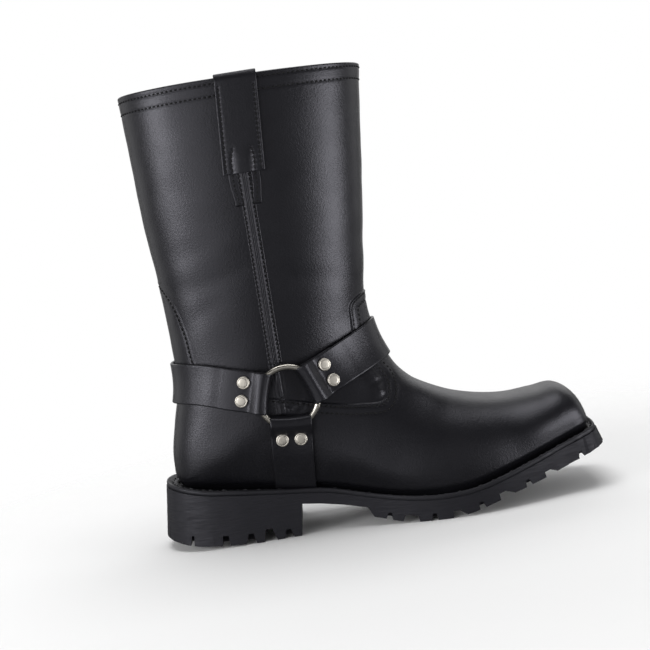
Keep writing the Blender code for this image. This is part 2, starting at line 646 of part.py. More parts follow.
def build_harness(leather, nickel):
    tree = form_tree(STRAP_SEAT)
    rings = [Ring(tree, side) for side in (-1, 1)]
    heel = Strap(tree, HEEL_STRAP_ANGLE)
    instep = Strap(tree, INSTEP_STRAP_ANGLE)
    down = Strap(tree, SOLE_STRAP_ANGLE)
    heel_loops = heel.round_to_other_ring(*rings, HEEL_STRAP_TURN, HEEL_STRAP_STEPS, HEEL_STRAP_BEND)
    instep_loops = instep.round_to_other_ring(*rings, INSTEP_STRAP_TURN, INSTEP_STRAP_STEPS)
    straps = [
        (loft("strap_heel", heel_loops, leather), rings),
        (loft("strap_instep", instep_loops, leather), rings),
    ]
    for ring in rings:
        loft(f"ring_{ring.name}", ring.loops(RING_WIRE / 2), nickel, endless=True)
        straps.append((loft(f"strap_sole_{ring.name}", down.down_to_welt(ring), leather), [ring]))
        for strap, label, u in (
            (heel, "heel", STRAP_RIVETS),
            (instep, "instep", STRAP_RIVETS),
            (down, "sole", SOLE_STRAP_RIVETS),
        ):
            for number, v in enumerate((-RIVET_SPACING / 2, RIVET_SPACING / 2), 1):
                strap.rivet(f"rivet_{label}_{ring.name}_{number}", ring, u, v, nickel)
    for strap, its_rings in straps:
        for ring in its_rings:
            name = f"{strap.name}_way_{ring.name}"
            tunnel = loft(name, ring.loops(RING_WIRE / 2 + RING_PLAY), endless=True)
            boolean(strap, tunnel, "DIFFERENCE")


def line_at(first, second, z):
    """x at height z on a line between two (x, z) points."""
    return np.interp(z, (second[1], first[1]), (second[0], first[0]))


def build_pull_strap(side, outside, inside, finish):
    """A strap folded over the collar: up the outside, over the rim and down the inside."""
    rim = COLLAR_Z + 2 * GAP
    up = np.array([0.0, 0.0, 1.0])
    # Each section: its height, how far it has crossed the wall, and the turn of its face
    sections = [(z, 0.0, 0.0) for z in PULL_STRAP_OUTSIDE_Z]
    sections += [(rim, 0.0, 45.0), (rim, 0.5, 90.0), (rim, 1.0, 135.0)]
    sections += [(z, 1.0, 180.0) for z in PULL_STRAP_INSIDE_Z]
    loops = []
    for z, crossed, turn in sections:
        backs, faces = [], []
        middle = line_at(PULL_STRAP_TOP, PULL_STRAP_LOW, z)
        level = min(z, COLLAR_Z - 2.0)
        for x in middle + np.linspace(-PULL_STRAP_WIDTH / 2, PULL_STRAP_WIDTH / 2, STRAP_COLUMNS):
            outer, normal = on_form(outside, (x, 0, level), (0, side, 0))
            inner, _ = on_form(inside, (x, 0, level), (0, side, 0))
            back = outer + crossed * (inner - outer)
            back[2] = z
            out = math.cos(math.radians(turn)) * normal + math.sin(math.radians(turn)) * up
            backs.append(back)
            faces.append(back + PULL_STRAP_THICKNESS * out)
        loops.append([*faces, *backs[::-1]])
    loft("pull_strap_outer" if side < 0 else "pull_strap_inner", loops, finish)


def build_side_seam(side, tree, finish):
    """A strip with a raised middle, down the side of the shaft."""
    loops = []
    for z in np.linspace(SEAM_TOP[1], SEAM_LOW[1], 8):
        x = line_at(SEAM_TOP, SEAM_LOW, z)
        backs, faces = [], []
        for share, ridge in SEAM_SECTION:
            point, normal = on_form(tree, (x + share * SEAM_WIDTH / 2, 0, z), (0, side, 0))
            backs.append(point)
            faces.append(point + (SEAM_HEIGHT + ridge * SEAM_RIDGE) * normal)
        loops.append([*faces, *backs[::-1]])
    loft("side_seam_outer" if side < 0 else "side_seam_inner", loops, finish)


def main():
    for old in list(bpy.data.objects):
        bpy.data.objects.remove(old)
    leather = material("black_leather", (0.012, 0.012, 0.013), 0.42)
    strap_leather = material("strap_leather", (0.014, 0.014, 0.015), 0.4)
    rubber = material("black_rubber", (0.02, 0.02, 0.021), 0.7)
    nickel = material("nickel_plate", (0.62, 0.6, 0.55), 0.28, 1.0)
    build_outsole(rubber)
    build_welt(material("black_welt", (0.018, 0.018, 0.019), 0.55))
    build_insole(material("insole_board", (0.05, 0.045, 0.04), 0.8))
    build_upper(leather)
    build_harness(strap_leather, nickel)
    outside = form_tree(COLLAR_BAND_PROUD + GAP)
    inside = form_tree(-WALL - FACET - GAP)
    seat = form_tree(GAP)
    for side in (-1, 1):
        build_pull_strap(side, outside, inside, strap_leather)
        build_side_seam(side, seat, leather)


main()
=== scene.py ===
# %% [markdown]
# A black pull-on harness boot for the right foot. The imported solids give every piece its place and
# size. This lesson dresses them: each step names one piece or finish of the real boot, says how it
# could be made in Blender, and makes it.

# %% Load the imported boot
import math
from collections import namedtuple

import bmesh
import bpy
import numpy as np
from mathutils import Matrix, Vector
from mathutils.bvhtree import BVHTree


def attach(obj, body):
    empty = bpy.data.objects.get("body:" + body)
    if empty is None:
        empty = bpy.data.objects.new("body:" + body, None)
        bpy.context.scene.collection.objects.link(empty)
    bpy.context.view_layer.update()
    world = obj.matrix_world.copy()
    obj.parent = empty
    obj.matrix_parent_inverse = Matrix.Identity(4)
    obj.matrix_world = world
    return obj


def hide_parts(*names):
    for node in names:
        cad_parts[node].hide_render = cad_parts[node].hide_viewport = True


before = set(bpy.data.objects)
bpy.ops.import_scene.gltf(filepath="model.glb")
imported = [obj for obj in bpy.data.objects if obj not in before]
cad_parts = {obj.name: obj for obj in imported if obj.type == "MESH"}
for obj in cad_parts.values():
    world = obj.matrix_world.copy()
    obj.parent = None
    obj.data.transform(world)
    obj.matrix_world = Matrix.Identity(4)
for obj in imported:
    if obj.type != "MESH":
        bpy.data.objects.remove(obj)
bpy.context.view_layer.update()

# %% [markdown]
# The photo was taken from the outer side, from a little above the ankle, with a long lens, and with
# the boot tipped toe-up. The boot here stands on its sole, so the camera is rolled instead. A camera
# could be aimed with a tracking constraint, but a matrix built from three directions also holds the
# roll.

# %% Camera
CAMERA_AT = Vector((-0.0231, -0.900, 0.225))
CAMERA_AIM = Vector((-0.0231, 0.0, 0.1379))
CAMERA_ROLL = math.radians(9.0)
LENS_MM = 70.8
SENSOR_MM = 36.0


def add_object(name, data):
    """A new object in the scene."""
    made = bpy.data.objects.new(name, data)
    bpy.context.scene.collection.objects.link(made)
    return made


ahead = (CAMERA_AIM - CAMERA_AT).normalized()
level = ahead.cross(Vector((0, 0, 1))).normalized()
plumb = level.cross(ahead)
right = level * math.cos(CAMERA_ROLL) - plumb * math.sin(CAMERA_ROLL)
up = level * math.sin(CAMERA_ROLL) + plumb * math.cos(CAMERA_ROLL)
lens = bpy.data.cameras.new("camera")
lens.lens = LENS_MM
lens.sensor_width = SENSOR_MM
camera = add_object("camera", lens)
camera.matrix_world = Matrix.Translation(CAMERA_AT) @ Matrix((right, up, -ahead)).transposed().to_4x4()
bpy.context.scene.camera = camera
print("camera:", round((CAMERA_AIM - CAMERA_AT).length, 3), "m from the boot")

# %% [markdown]
# Materials are trees of nodes. One small function adds a node, sets it and links it, so each finish
# below reads as a short list. Colours are written as the sRGB hex values that a paint program shows,
# and one function turns them to the linear values that the shader needs. Every finish of the boot ends
# the same way: one pattern raises the surface, and one moves the roughness.

# %% Nodes and colours
MM = 0.001
NOISE_RANGE = (0.3, 0.7)
Finish = namedtuple("Finish", "material tree shader place")


def linear(hex_colour):
    """An sRGB hex colour as linear red, green, blue and alpha."""
    parts = np.array([int(hex_colour[i : i + 2], 16) for i in (1, 3, 5)]) / 255
    parts = np.where(parts <= 0.04045, parts / 12.92, ((parts + 0.055) / 1.055) ** 2.4)
    return (*parts.tolist(), 1.0)


def node(tree, kind, settings=None, links=None):
    """Adds a node. A setting is a property of the node or, failing that, the value of a socket."""
    made = tree.nodes.new(kind)
    for name, value in (settings or {}).items():
        if hasattr(made, name):
            setattr(made, name, value)
        else:
            made.inputs[name].default_value = value
    for name, source in (links or {}).items():
        tree.links.new(source, made.inputs[name])
    return made


def finish(name, colour, roughness, **sockets):
    """A material with its plain values on the shader, and the place on the boot to hang patterns on."""
    material = bpy.data.materials.new(name)
    material.use_nodes = True
    tree = material.node_tree
    shader = tree.nodes["Principled BSDF"]
    shader.inputs["Base Color"].default_value = linear(colour)
    shader.inputs["Roughness"].default_value = roughness
    for socket, value in sockets.items():
        shader.inputs[socket.replace("_", " ")].default_value = value
    return Finish(material, tree, shader, node(tree, "ShaderNodeTexCoord").outputs["Object"])


def per_metre(size_mm):
    """Texture scale that gives a pattern this size in millimetres."""
    return 1 / (size_mm * MM)


def noise(made, size_mm, detail, place=None):
    """Cloudy noise of this size, on the boot or on a place of its own."""
    settings = {"Scale": per_metre(size_mm), "Detail": detail}
    links = {"Vector": made.place if place is None else place}
    return node(made.tree, "ShaderNodeTexNoise", settings, links).outputs["Fac"]


def surface(made, height, strength, depth_mm, marks, low, high):
    """Raises a finish by one pattern, and moves its roughness between two values by another."""
    depth = {"Strength": strength, "Distance": depth_mm * MM}
    bump = node(made.tree, "ShaderNodeBump", depth, {"Height": height})
    spread = {"From Min": NOISE_RANGE[0], "From Max": NOISE_RANGE[1], "To Min": low, "To Max": high}
    tone = node(made.tree, "ShaderNodeMapRange", spread, {"Value": marks})
    made.tree.links.new(bump.outputs["Normal"], made.shader.inputs["Normal"])
    made.tree.links.new(tone.outputs["Result"], made.shader.inputs["Roughness"])
    return made.material


# %% [markdown]
# The upper is chrome-tanned cowhide, drum-dyed black and finished with a thin semi-gloss lacquer. To
# the eye it is nearly black where no lamp is mirrored, and grey and softly broken where one is. The
# pores and pebbles of the hide are about 0.9 mm apart, so Voronoi cells of that size, joined by finer
# noise, drive the bump; they are drawn at 1.3 mm, because finer ones are lost between the pixels.
# Waxing is never even: cloudy noise 30 mm wide moves the roughness.

# %% Drum-dyed cowhide
GRAIN_MM = 1.3
GRAIN_SHARE = 0.6
GRAIN_BLEND = 0.6
GRAIN_STRENGTH = 0.42
PORE_MM = 0.6
WAX_CLOUD_MM = 30.0
BLACK_IOR = 1.43
COOL_SHEEN = linear("#f4f3ff")


def grained_leather(name, colour, roughness, grain_depth):
    """Hide with cells and pores, and clouds of wax that move the roughness between two values."""
    made = finish(name, colour, sum(roughness) / 2, IOR=BLACK_IOR, Specular_Tint=COOL_SHEEN)
    cells = {"feature": "SMOOTH_F1", "Scale": per_metre(GRAIN_MM), "Smoothness": GRAIN_BLEND}
    grain = node(made.tree, "ShaderNodeTexVoronoi", cells, {"Vector": made.place})
    patterns = {0: grain.outputs["Distance"], 2: noise(made, PORE_MM, 2.0)}
    both = node(made.tree, "ShaderNodeMath", {"operation": "MULTIPLY_ADD"}, patterns)
    both.inputs[1].default_value = GRAIN_SHARE
    clouds = noise(made, WAX_CLOUD_MM, 3.0)
    return surface(made, both.outputs["Value"], GRAIN_STRENGTH, grain_depth, clouds, *roughness)


cowhide = grained_leather("drum_dyed_cowhide", "#0e0e11", (0.32, 0.39), 0.24)
strap_hide = grained_leather("edge_dyed_strap_leather", "#101013", (0.32, 0.39), 0.2)
print("leathers:", cowhide.name, strap_hide.name)

# %% [markdown]
# The sole is carbon-black rubber, moulded and then buffed at the edge on a sanding wheel, which leaves
# fine lines along the sole. To the eye it is a dull dark grey. Noise drawn out tenfold along the sole
# gives lines about 0.5 mm high and 5 mm long. The welt is dyed leather, buffed on the same wheel, and
# looks a little lighter.

# %% Buffed rubber and welt
BUFF_LINE_MM = 0.5
BUFF_STRETCH = 0.1
BUFF_STRENGTH = 0.5
BUFF_SPREAD = (0.08, 0.1)


def buffed(name, colour, roughness, depth_mm):
    """A dull finish with fine lines along the sole."""
    made = finish(name, colour, roughness, IOR=BLACK_IOR, Specular_Tint=COOL_SHEEN)
    stretch = {"Scale": (BUFF_STRETCH, BUFF_STRETCH, 1.0)}
    along_sole = node(made.tree, "ShaderNodeMapping", stretch, {"Vector": made.place})
    lines = noise(made, BUFF_LINE_MM * 2, 4.0, along_sole.outputs["Vector"])
    low, high = roughness - BUFF_SPREAD[0], roughness + BUFF_SPREAD[1]
    return surface(made, lines, BUFF_STRENGTH, depth_mm, lines, low, high)


rubber = buffed("buffed_black_rubber", "#0f0f13", 0.6, 0.35)
welt_leather = buffed("dyed_welt_leather", "#111114", 0.52, 0.2)
print("sole:", rubber.name, welt_leather.name)

# %% [markdown]
# Rings are steel wire, bent, tumbled and nickel plated, and come out between mirror and satin. Rivet caps
# are stamped, and their plate stays satin. Nickel is a slightly warm white metal, and faint noise in the
# roughness stands for handling marks. A metal's colour is its mirror colour, so its IOR is left alone.
# The same function makes the dull small goods, whose fibres scatter the light: bonded nylon thread,
# brushed lining and needled footbed felt. The welt's thread is waxed, so it shines more, and its colour is
# a painted highlight: lighter than the black thread, so that its stitches show as light dots.

# %% Nickel plate, thread, lining and footbed
HANDLING_MM = 2.0
THREAD_PLY_MM = 0.35
WEAVE_MM = 1.1
MARK_STRENGTH = 0.4


def speckled(name, colour, roughness, spread, size_mm, depth_mm, **sockets):
    """A finish whose roughness and height vary with noise of one size."""
    made = finish(name, colour, roughness, **sockets)
    marks = noise(made, size_mm, 3.0)
    return surface(made, marks, MARK_STRENGTH, depth_mm, marks, roughness - spread, roughness + spread)


nickel = speckled("tumbled_nickel_plate", "#ccc7be", 0.24, 0.04, HANDLING_MM, 0.003, Metallic=1.0)
cap_nickel = speckled("stamped_satin_nickel", "#c8c3ba", 0.46, 0.06, HANDLING_MM, 0.03, Metallic=1.0)
thread = speckled("bonded_nylon_thread", "#08080a", 0.78, 0.08, THREAD_PLY_MM, 0.1, IOR=1.4)
# Painted highlight: the welt thread's colour is lighter than the black thread, so its stitches read as light
# dots.
welt_thread_painted_highlight = speckled("waxed_welt_thread", "#2a2a2d", 0.45, 0.08, THREAD_PLY_MM, 0.1, IOR=1.5)
lining = speckled("brushed_black_lining", "#232222", 0.85, 0.08, WEAVE_MM, 0.3, IOR=1.45)
footbed_cloth = speckled("needled_footbed_felt", "#2b2927", 0.9, 0.06, WEAVE_MM, 0.35, IOR=1.45)
print("small goods:", nickel.name, thread.name, lining.name, footbed_cloth.name)

# %% [markdown]
# Every piece is made the same way: points and faces worked out in the boot's own millimetres, then one
# mesh in metres, which rides on the boot's only body. The maker's tables measure x from a point
# 0.9 mm in front of the boot's middle.

# %% Making a piece
MIDDLE_X = -0.9


def in_frame(points):
    """Pattern millimetres to the frame's metres."""
    return (np.asarray(points, float) - (MIDDLE_X, 0, 0)) * MM


def make_piece(name, points, faces, materials, stands_for=(), face_material=None, weld_mm=0.0):
    """One named mesh on the boot, shown in place of the solids that it stands for."""
    mesh = bpy.data.meshes.new(name)
    mesh.from_pydata(in_frame(points).tolist(), [], faces)
    for material in materials:
        mesh.materials.append(material)
    if face_material is not None:
        mesh.polygons.foreach_set("material_index", face_material)
    mesh.shade_smooth()
    mesh.validate()
    shape = bmesh.new()
    shape.from_mesh(mesh)
    if weld_mm:
        bmesh.ops.remove_doubles(shape, verts=shape.verts, dist=weld_mm * MM)
    bmesh.ops.recalc_face_normals(shape, faces=shape.faces)
    shape.to_mesh(mesh)
    shape.free()
    piece = add_object(name, mesh)
    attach(piece, "root")
    if stands_for:
        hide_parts(*stands_for)
    print(f"{name}: {len(mesh.polygons)} faces")
    return piece


def grid_faces(rows, columns, closed=False, endless=False):
    """Quads of a grid of points. Closed rows join last column to first, an endless grid last row to first."""
    faces = []
    for i in range(rows if endless else rows - 1):
        lower, upper = i * columns, (i + 1) % rows * columns
        for j in range(columns if closed else columns - 1):
            k = (j + 1) % columns
            faces.append((lower + j, lower + k, upper + k, upper + j))
    return faces


def tube_faces(rows, columns):
    """Faces of a grid whose rows are closed loops, with a flat end on its first and last row."""
    first = tuple(range(columns))
    last_row = tuple(k + (rows - 1) * columns for k in first)
    return [*grid_faces(rows, columns, closed=True), first[::-1], last_row]


# %% [markdown]
# The upper is shaped on a last, the wooden form of the foot. The table below holds the last's sections
# from toe to collar: each runs from a point of the top line (vamp ridge, instep, shaft front) to a
# point of the base line (feather edge, heel, shaft back). A smooth curve through the rows gives the
# form at any place. It could be sculpted, but then nothing else could be fitted to it.

# %% The last
Section = namedtuple("Section", "top_x top_z base_x base_z half seat swing widest crown corner")
LAST = [
    Section(147.1, 42.0, 146.8, 35.5, 15.0, 15.0, 4.2, 0.50, 2.8, 2.8),
    Section(146.1, 48.4, 145.8, 33.8, 23.0, 23.0, 4.2, 0.46, 2.8, 3.2),
    Section(143.3, 56.6, 143.6, 31.8, 27.8, 27.6, 4.2, 0.42, 2.8, 4.2),
    Section(139.2, 64.4, 139.2, 30.0, 30.6, 30.2, 4.2, 0.40, 2.8, 5.0),
    Section(131.8, 69.8, 131.5, 27.5, 33.3, 32.8, 4.2, 0.38, 2.7, 5.0),
    Section(116.0, 69.3, 116.5, 23.5, 38.3, 37.3, 3.8, 0.36, 2.5, 5.0),
    Section(96.0, 68.6, 95.0, 17.0, 43.5, 42.5, 2.8, 0.33, 2.3, 5.0),
    Section(76.0, 71.4, 72.0, 11.5, 47.3, 46.3, 1.0, 0.31, 2.2, 5.0),
    Section(60.0, 75.9, 50.0, 8.0, 48.3, 47.3, -0.8, 0.30, 2.15, 5.0),
    Section(46.0, 82.1, 22.0, 8.5, 45.8, 43.0, -2.5, 0.31, 2.1, 5.0),
    Section(33.0, 89.5, -8.0, 13.0, 41.5, 34.0, -3.6, 0.35, 2.1, 4.5),
    Section(25.5, 96.4, -36.0, 19.5, 39.0, 29.0, -3.4, 0.41, 2.1, 4.2),
    Section(18.5, 105.4, -66.0, 24.5, 38.5, 30.5, -1.8, 0.45, 2.1, 4.0),
    Section(13.5, 116.0, -96.0, 29.0, 38.8, 32.5, -0.5, 0.48, 2.1, 3.6),
    Section(9.5, 127.5, -124.0, 32.5, 39.2, 33.5, 0.0, 0.48, 2.1, 3.0),
    Section(7.2, 139.0, -142.0, 38.0, 39.6, 34.5, 0.0, 0.48, 2.1, 2.6),
    Section(6.2, 150.0, -144.4, 60.0, 39.9, 36.5, 0.0, 0.48, 2.15, 2.4),
    Section(7.2, 161.0, -139.7, 86.0, 40.4, 38.5, 0.0, 0.48, 2.2, 2.3),
    Section(9.0, 173.0, -133.6, 110.0, 41.2, 40.0, 0.0, 0.48, 2.2, 2.25),
    Section(11.5, 193.0, -133.0, 140.0, 42.5, 42.5, 0.0, 0.49, 2.2, 2.2),
    Section(14.8, 215.0, -134.5, 180.0, 44.5, 44.5, 0.0, 0.50, 2.2, 2.2),
    Section(19.0, 247.0, -138.3, 225.0, 47.0, 47.0, 0.0, 0.50, 2.2, 2.2),
    Section(23.5, 284.0, -140.0, 277.0, 49.0, 49.0, 0.0, 0.50, 2.2, 2.2),
    Section(26.1, 304.0, -141.0, 304.0, 49.8, 49.8, 0.0, 0.50, 2.2, 2.2),
    Section(27.4, 313.0, -141.3, 314.6, 50.2, 50.2, 0.0, 0.50, 2.2, 2.2),
]


def hermite(table, at):
    """Smooth curve through the rows of a table, whose first column is the way along."""
    table = np.asarray(table, float)
    at = np.asarray(at, float)
    along, values = table[:, 0], table[:, 1:]
    step = np.diff(along)[:, None]
    slope = np.diff(values, axis=0) / step
    tangent = np.empty_like(values)
    tangent[1:-1] = (slope[:-1] * step[1:] + slope[1:] * step[:-1]) / (step[1:] + step[:-1])
    tangent[0], tangent[-1] = slope[0], slope[-1]
    i = np.clip(np.searchsorted(along, at, side="right") - 1, 0, len(along) - 2)
    h = (along[i + 1] - along[i])[..., None]
    t = (at - along[i])[..., None] / h
    return (
        (2 * t**3 - 3 * t**2 + 1) * values[i]
        + (t**3 - 2 * t**2 + t) * h * tangent[i]
        + (3 * t**2 - 2 * t**3) * values[i + 1]
        + (t**3 - t**2) * h * tangent[i + 1]
    )


def with_way(rows):
    """The rows with the way along them as a first column."""
    rows = np.asarray(rows, float)
    way_along = np.concatenate([[0], np.cumsum(np.linalg.norm(np.diff(rows, axis=0), axis=1))])
    return np.column_stack([way_along, rows])


last_ends = np.array(LAST)[:, :4].reshape(-1, 2, 2)
last_travel = np.linalg.norm(np.diff(last_ends, axis=0), axis=2).mean(axis=1)
ROW_AT = np.concatenate([[0], np.cumsum(last_travel)])
LAST_TABLE = np.column_stack([ROW_AT, np.array(LAST)])


def last_points(at, angle):
    """Points of the last: angle 0 is on the top line, pi on the base line, the outer side between."""
    row = Section(*np.moveaxis(hermite(LAST_TABLE, at), -1, 0))
    cos, sin = np.cos(angle), np.sin(angle)
    upper = cos >= 0
    power = 2 / np.where(upper, row.crown, row.corner)
    reach = np.abs(cos) ** power
    along = np.where(upper, row.widest + (1 - row.widest) * reach, row.widest * (1 - reach))
    rise = np.clip(along / row.widest, 0, 1)
    half = row.seat + (row.half - row.seat) * rise**2 * (3 - 2 * rise)
    across = half * np.abs(sin) ** power * -np.sign(sin)
    x = row.base_x + (row.top_x - row.base_x) * along
    z = row.base_z + (row.top_z - row.base_z) * along
    return np.stack([x, row.swing + across, z], axis=-1)


def unit(vectors):
    """The same directions at length one."""
    return vectors / np.linalg.norm(vectors, axis=-1, keepdims=True)


def last_normals(at, angle):
    """Outward directions of the last at the same places."""
    step = 0.2
    turn = 0.02
    ahead_of = last_points(np.minimum(at + step, ROW_AT[-1]), angle)
    behind = last_points(np.maximum(at - step, 0), angle)
    round_it = last_points(at, angle - turn) - last_points(at, angle + turn)
    return unit(np.cross(round_it, ahead_of - behind))


print("last:", len(LAST), "sections,", round(ROW_AT[-1]), "mm along")

# %% [markdown]
# Strap seats, rivets and stitches need the place where a straight line meets the boot. A BVH tree, a
# sorted box of triangles, answers that at once. This cell also repeats the sole's edge in plan and its
# top line from the side, because welt, straps and upper all end there.

# %% The form as a target, and the sole's lines
Edge = namedtuple("Edge", "x outer inner")
SOLE_EDGE = [
    Edge(-152.6, 0.0, 0.0), Edge(-148.0, 19.0, 19.0), Edge(-140.3, 27.5, 27.5), Edge(-127.0, 34.3, 34.3),
    Edge(-108.0, 37.0, 37.0), Edge(-84.0, 36.8, 35.8), Edge(-60.0, 36.0, 32.5), Edge(-34.0, 36.8, 29.8),
    Edge(-8.0, 41.5, 32.5), Edge(18.0, 48.5, 41.0), Edge(40.0, 53.0, 49.0), Edge(60.0, 54.0, 53.3),
    Edge(74.0, 52.5, 54.0), Edge(90.0, 48.8, 53.0), Edge(108.0, 43.2, 49.8), Edge(124.0, 37.6, 45.5),
    Edge(139.0, 33.0, 41.2), Edge(147.4, 28.8, 37.2), Edge(150.6, 21.5, 30.5), Edge(151.7, 11.0, 20.0),
    Edge(151.9, -4.5, 4.5),
]
SOLE_TOP = [
    (-165.0, 49.8), (-150.0, 46.2), (-126.0, 41.2), (-100.0, 37.8), (-63.0, 33.0), (-38.0, 29.8),
    (-21.0, 25.4), (-5.0, 21.6), (11.0, 18.8), (27.0, 17.2), (43.0, 17.0), (60.0, 18.4), (78.0, 22.4),
    (98.0, 27.8), (120.0, 34.2), (141.0, 40.2), (165.0, 46.8),
]
FORM_ROWS = 180
FORM_COLUMNS = 128


def sole_top(x):
    """Height of the sole's top line."""
    return hermite(SOLE_TOP, x)[..., 0]


def full_turn(count):
    """Angles at equal steps all the way round."""
    return np.arange(count) * 2 * math.pi / count


def form_tree(offset):
    """A search tree on the last moved out by offset, with its toe closed."""
    stations = np.linspace(0, ROW_AT[-1], FORM_ROWS)
    at, angle = np.meshgrid(stations, full_turn(FORM_COLUMNS), indexing="ij")
    points = last_points(at, angle) + offset * last_normals(at, angle)
    faces = [tuple(range(FORM_COLUMNS)), *grid_faces(FORM_ROWS, FORM_COLUMNS, closed=True)]
    return BVHTree.FromPolygons(points.reshape(-1, 3).tolist(), faces)


def hit(tree, origin, direction):
    """Where a line from inside leaves the form, and the form's outward normal there."""
    point, normal, _, _ = tree.ray_cast(Vector(origin), Vector(direction))
    if point is None:
        return None, None
    normal = np.array(normal)
    return np.array(point), normal * np.sign(normal @ np.asarray(direction, float))


def side_hit(tree, side, x, z):
    """The same for a level line from the boot's middle to one side: -1 is the outer side, 1 the inner."""
    return hit(tree, (x, 0, z), (0, side, 0))


def way(angle):
    """Unit vector of the side view at this angle from +X."""
    return np.array([math.cos(angle), 0.0, math.sin(angle)])


print("sole:", len(SOLE_EDGE), "places of its edge and", len(SOLE_TOP), "of its top line")

# %% [markdown]
# Vamp and counter are cut from a second piece of hide and lie over the shaft, with a turned edge and
# two rows of stitches. On the real boot that edge is a step of about 1.2 mm. It could be a second mesh,
# but one skin with a step has no gap to leak light. The step follows this curve of the side view.
# Creases are listed where the real leather puffs or folds.

# %% Overlay, stitch rows and creases
OVERLAY = 1.2
COUNTER_SHARE = 0.3
COUNTER_X = (-100.0, -70.0)
EDGE_BLUR = 0.45
StitchRow = namedtuple("StitchRow", "inset from_x")
STITCH_ROWS = [StitchRow(1.7, -200.0), StitchRow(6.4, -40.0)]
ROW_FADE = 6.0
TROUGH_DEPTH = 0.35
TROUGH_WIDTH = 1.1
COLLAR_TROUGH = 0.33
COLLAR_ROWS_Z = (303.4, 311.4)
HEM_Z = 303.6
HEM_PROUD = 0.06
HEM_BLUR = (0.6, 0.8)
FEATHER_TUCK = 1.7
FEATHER_HEIGHT = 5.5
FEATHER_BELOW_Z = 70.0
OVERLAY_STEPS = 240
OVERLAY_EDGE = [
    (40.0, 157.0), (2.0, 156.6), (-4.5, 152.0), (-6.0, 140.0), (-5.0, 124.0), (4.0, 108.0),
    (11.5, 95.0), (9.0, 84.5), (-8.0, 84.0), (-30.0, 88.0), (-64.0, 97.0), (-98.0, 105.0),
    (-114.0, 122.0), (-119.0, 150.0), (-126.0, 174.0), (-138.0, 190.0), (-170.0, 198.0),
]
# Creases of the side view, alike on both sides of the boot: middle, half length, tilt in degrees, half
# width and height (a trough is negative)
Crease = namedtuple("Crease", "x z run tilt width height")
CREASES = [
    Crease(2.5, 101.5, 7.5, -58.0, 3.6, 1.9),
    Crease(5.5, 91.5, 4.5, -75.0, 3.2, 1.5),
    Crease(4.6, 95.8, 4.0, 20.0, 1.4, -0.5),
    Crease(-9.0, 108.0, 14.0, -40.0, 3.0, -0.6),
    Crease(-50.0, 90.0, 7.0, 35.0, 1.3, 0.45),
    Crease(-55.0, 88.0, 6.0, -30.0, 1.1, -0.4),
    Crease(-45.0, 87.0, 6.0, 70.0, 1.2, 0.4),
    Crease(-104.0, 196.0, 30.0, 20.0, 7.0, 0.3),
    Crease(-88.0, 184.0, 26.0, 16.0, 6.0, -0.3),
    Crease(-20.0, 188.0, 34.0, -10.0, 9.0, 0.3),
    Crease(-14.0, 172.0, 30.0, -14.0, 6.0, -0.3),
    Crease(-112.0, 158.0, 24.0, 28.0, 6.0, -0.25),
    Crease(24.0, 96.0, 12.0, -46.0, 4.5, -0.5),
    Crease(34.0, 82.0, 16.0, -40.0, 6.0, 0.5),
    Crease(-116.0, 62.0, 24.0, 0.0, 17.0, 1.2),
    Crease(121.0, 51.0, 25.0, 14.0, 9.0, 1.6),
]
# Unevenness of the hide: height of two crossed waves, the lengths over which they turn, and the levels
# between which they fade in. The second pair is there from the floor up.
Ripple = namedtuple("Ripple", "height x z cross_y cross_z fade_z")
RIPPLES = [
    Ripple(0.11, 23.0, 4.3, 9.0, 17.0, (150.0, 190.0)),
    Ripple(0.08, 9.3, -14.0, 16.0, 11.7, (-1.0, 0.0)),
]
overlay_way = with_way(OVERLAY_EDGE)
overlay_curve = hermite(overlay_way, np.linspace(0, overlay_way[-1, 0], OVERLAY_STEPS))
print("overlay:", round(overlay_way[-1, 0]), "mm of edge,", len(CREASES), "creases")

# %% [markdown]
# The height of the leather over the last is one function of the place: step, stitch troughs, hem at the
# collar, creases, the flat seam behind the ring, and the tuck where the last turns under at the sole.
# It could be painted as a texture, but real height also shapes the outline and seats the stitches.

# %% Relief of the leather
SEAM_X = -61.6
SEAM_FLAT_Z = (84.0, 123.0)
SEAM_FLAT_FADE = (3.0, 2.0)
SEAM_ROLL = 0.7
SEAM_ROLL_OFF = 1.0
SEAM_ROLL_WIDTH = 0.55
SEAM_GROUND = 0.3
SEAM_GROUND_HALF = 4.4
SEAM_GROUND_BLUR = 0.7
BATCH = 4000


def ramp(value, low, high):
    """0 up to low, 1 from high on, smooth between. It falls where low is the larger one."""
    share = np.clip((value - low) / (high - low), 0, 1)
    return share * share * (3 - 2 * share)


def edge_distance(x, z):
    """Distance from the overlay's edge in the side view, positive on the vamp and the counter."""
    start, run = overlay_curve[:-1], np.diff(overlay_curve, axis=0)
    length = (run**2).sum(axis=1)
    found = np.empty(len(x))
    for part in np.array_split(np.arange(len(x)), max(1, len(x) // BATCH)):
        dx = x[part, None] - start[:, 0]
        dz = z[part, None] - start[:, 1]
        share = np.clip((dx * run[:, 0] + dz * run[:, 1]) / length, 0, 1)
        off_x, off_z = dx - share * run[:, 0], dz - share * run[:, 1]
        gap = off_x**2 + off_z**2
        best = gap.argmin(axis=1)
        pick = np.arange(len(part))
        side = run[best, 0] * dz[pick, best] - run[best, 1] * dx[pick, best]
        found[part] = np.sqrt(gap[pick, best]) * np.sign(side)
    return found


def crease_height(crease, x, z):
    """Height of one crease at places of the side view."""
    tilt = math.radians(crease.tilt)
    along = (x - crease.x) * math.cos(tilt) + (z - crease.z) * math.sin(tilt)
    across = (z - crease.z) * math.cos(tilt) - (x - crease.x) * math.sin(tilt)
    return crease.height * np.exp(-((across / crease.width) ** 2) - (along / crease.run) ** 4)


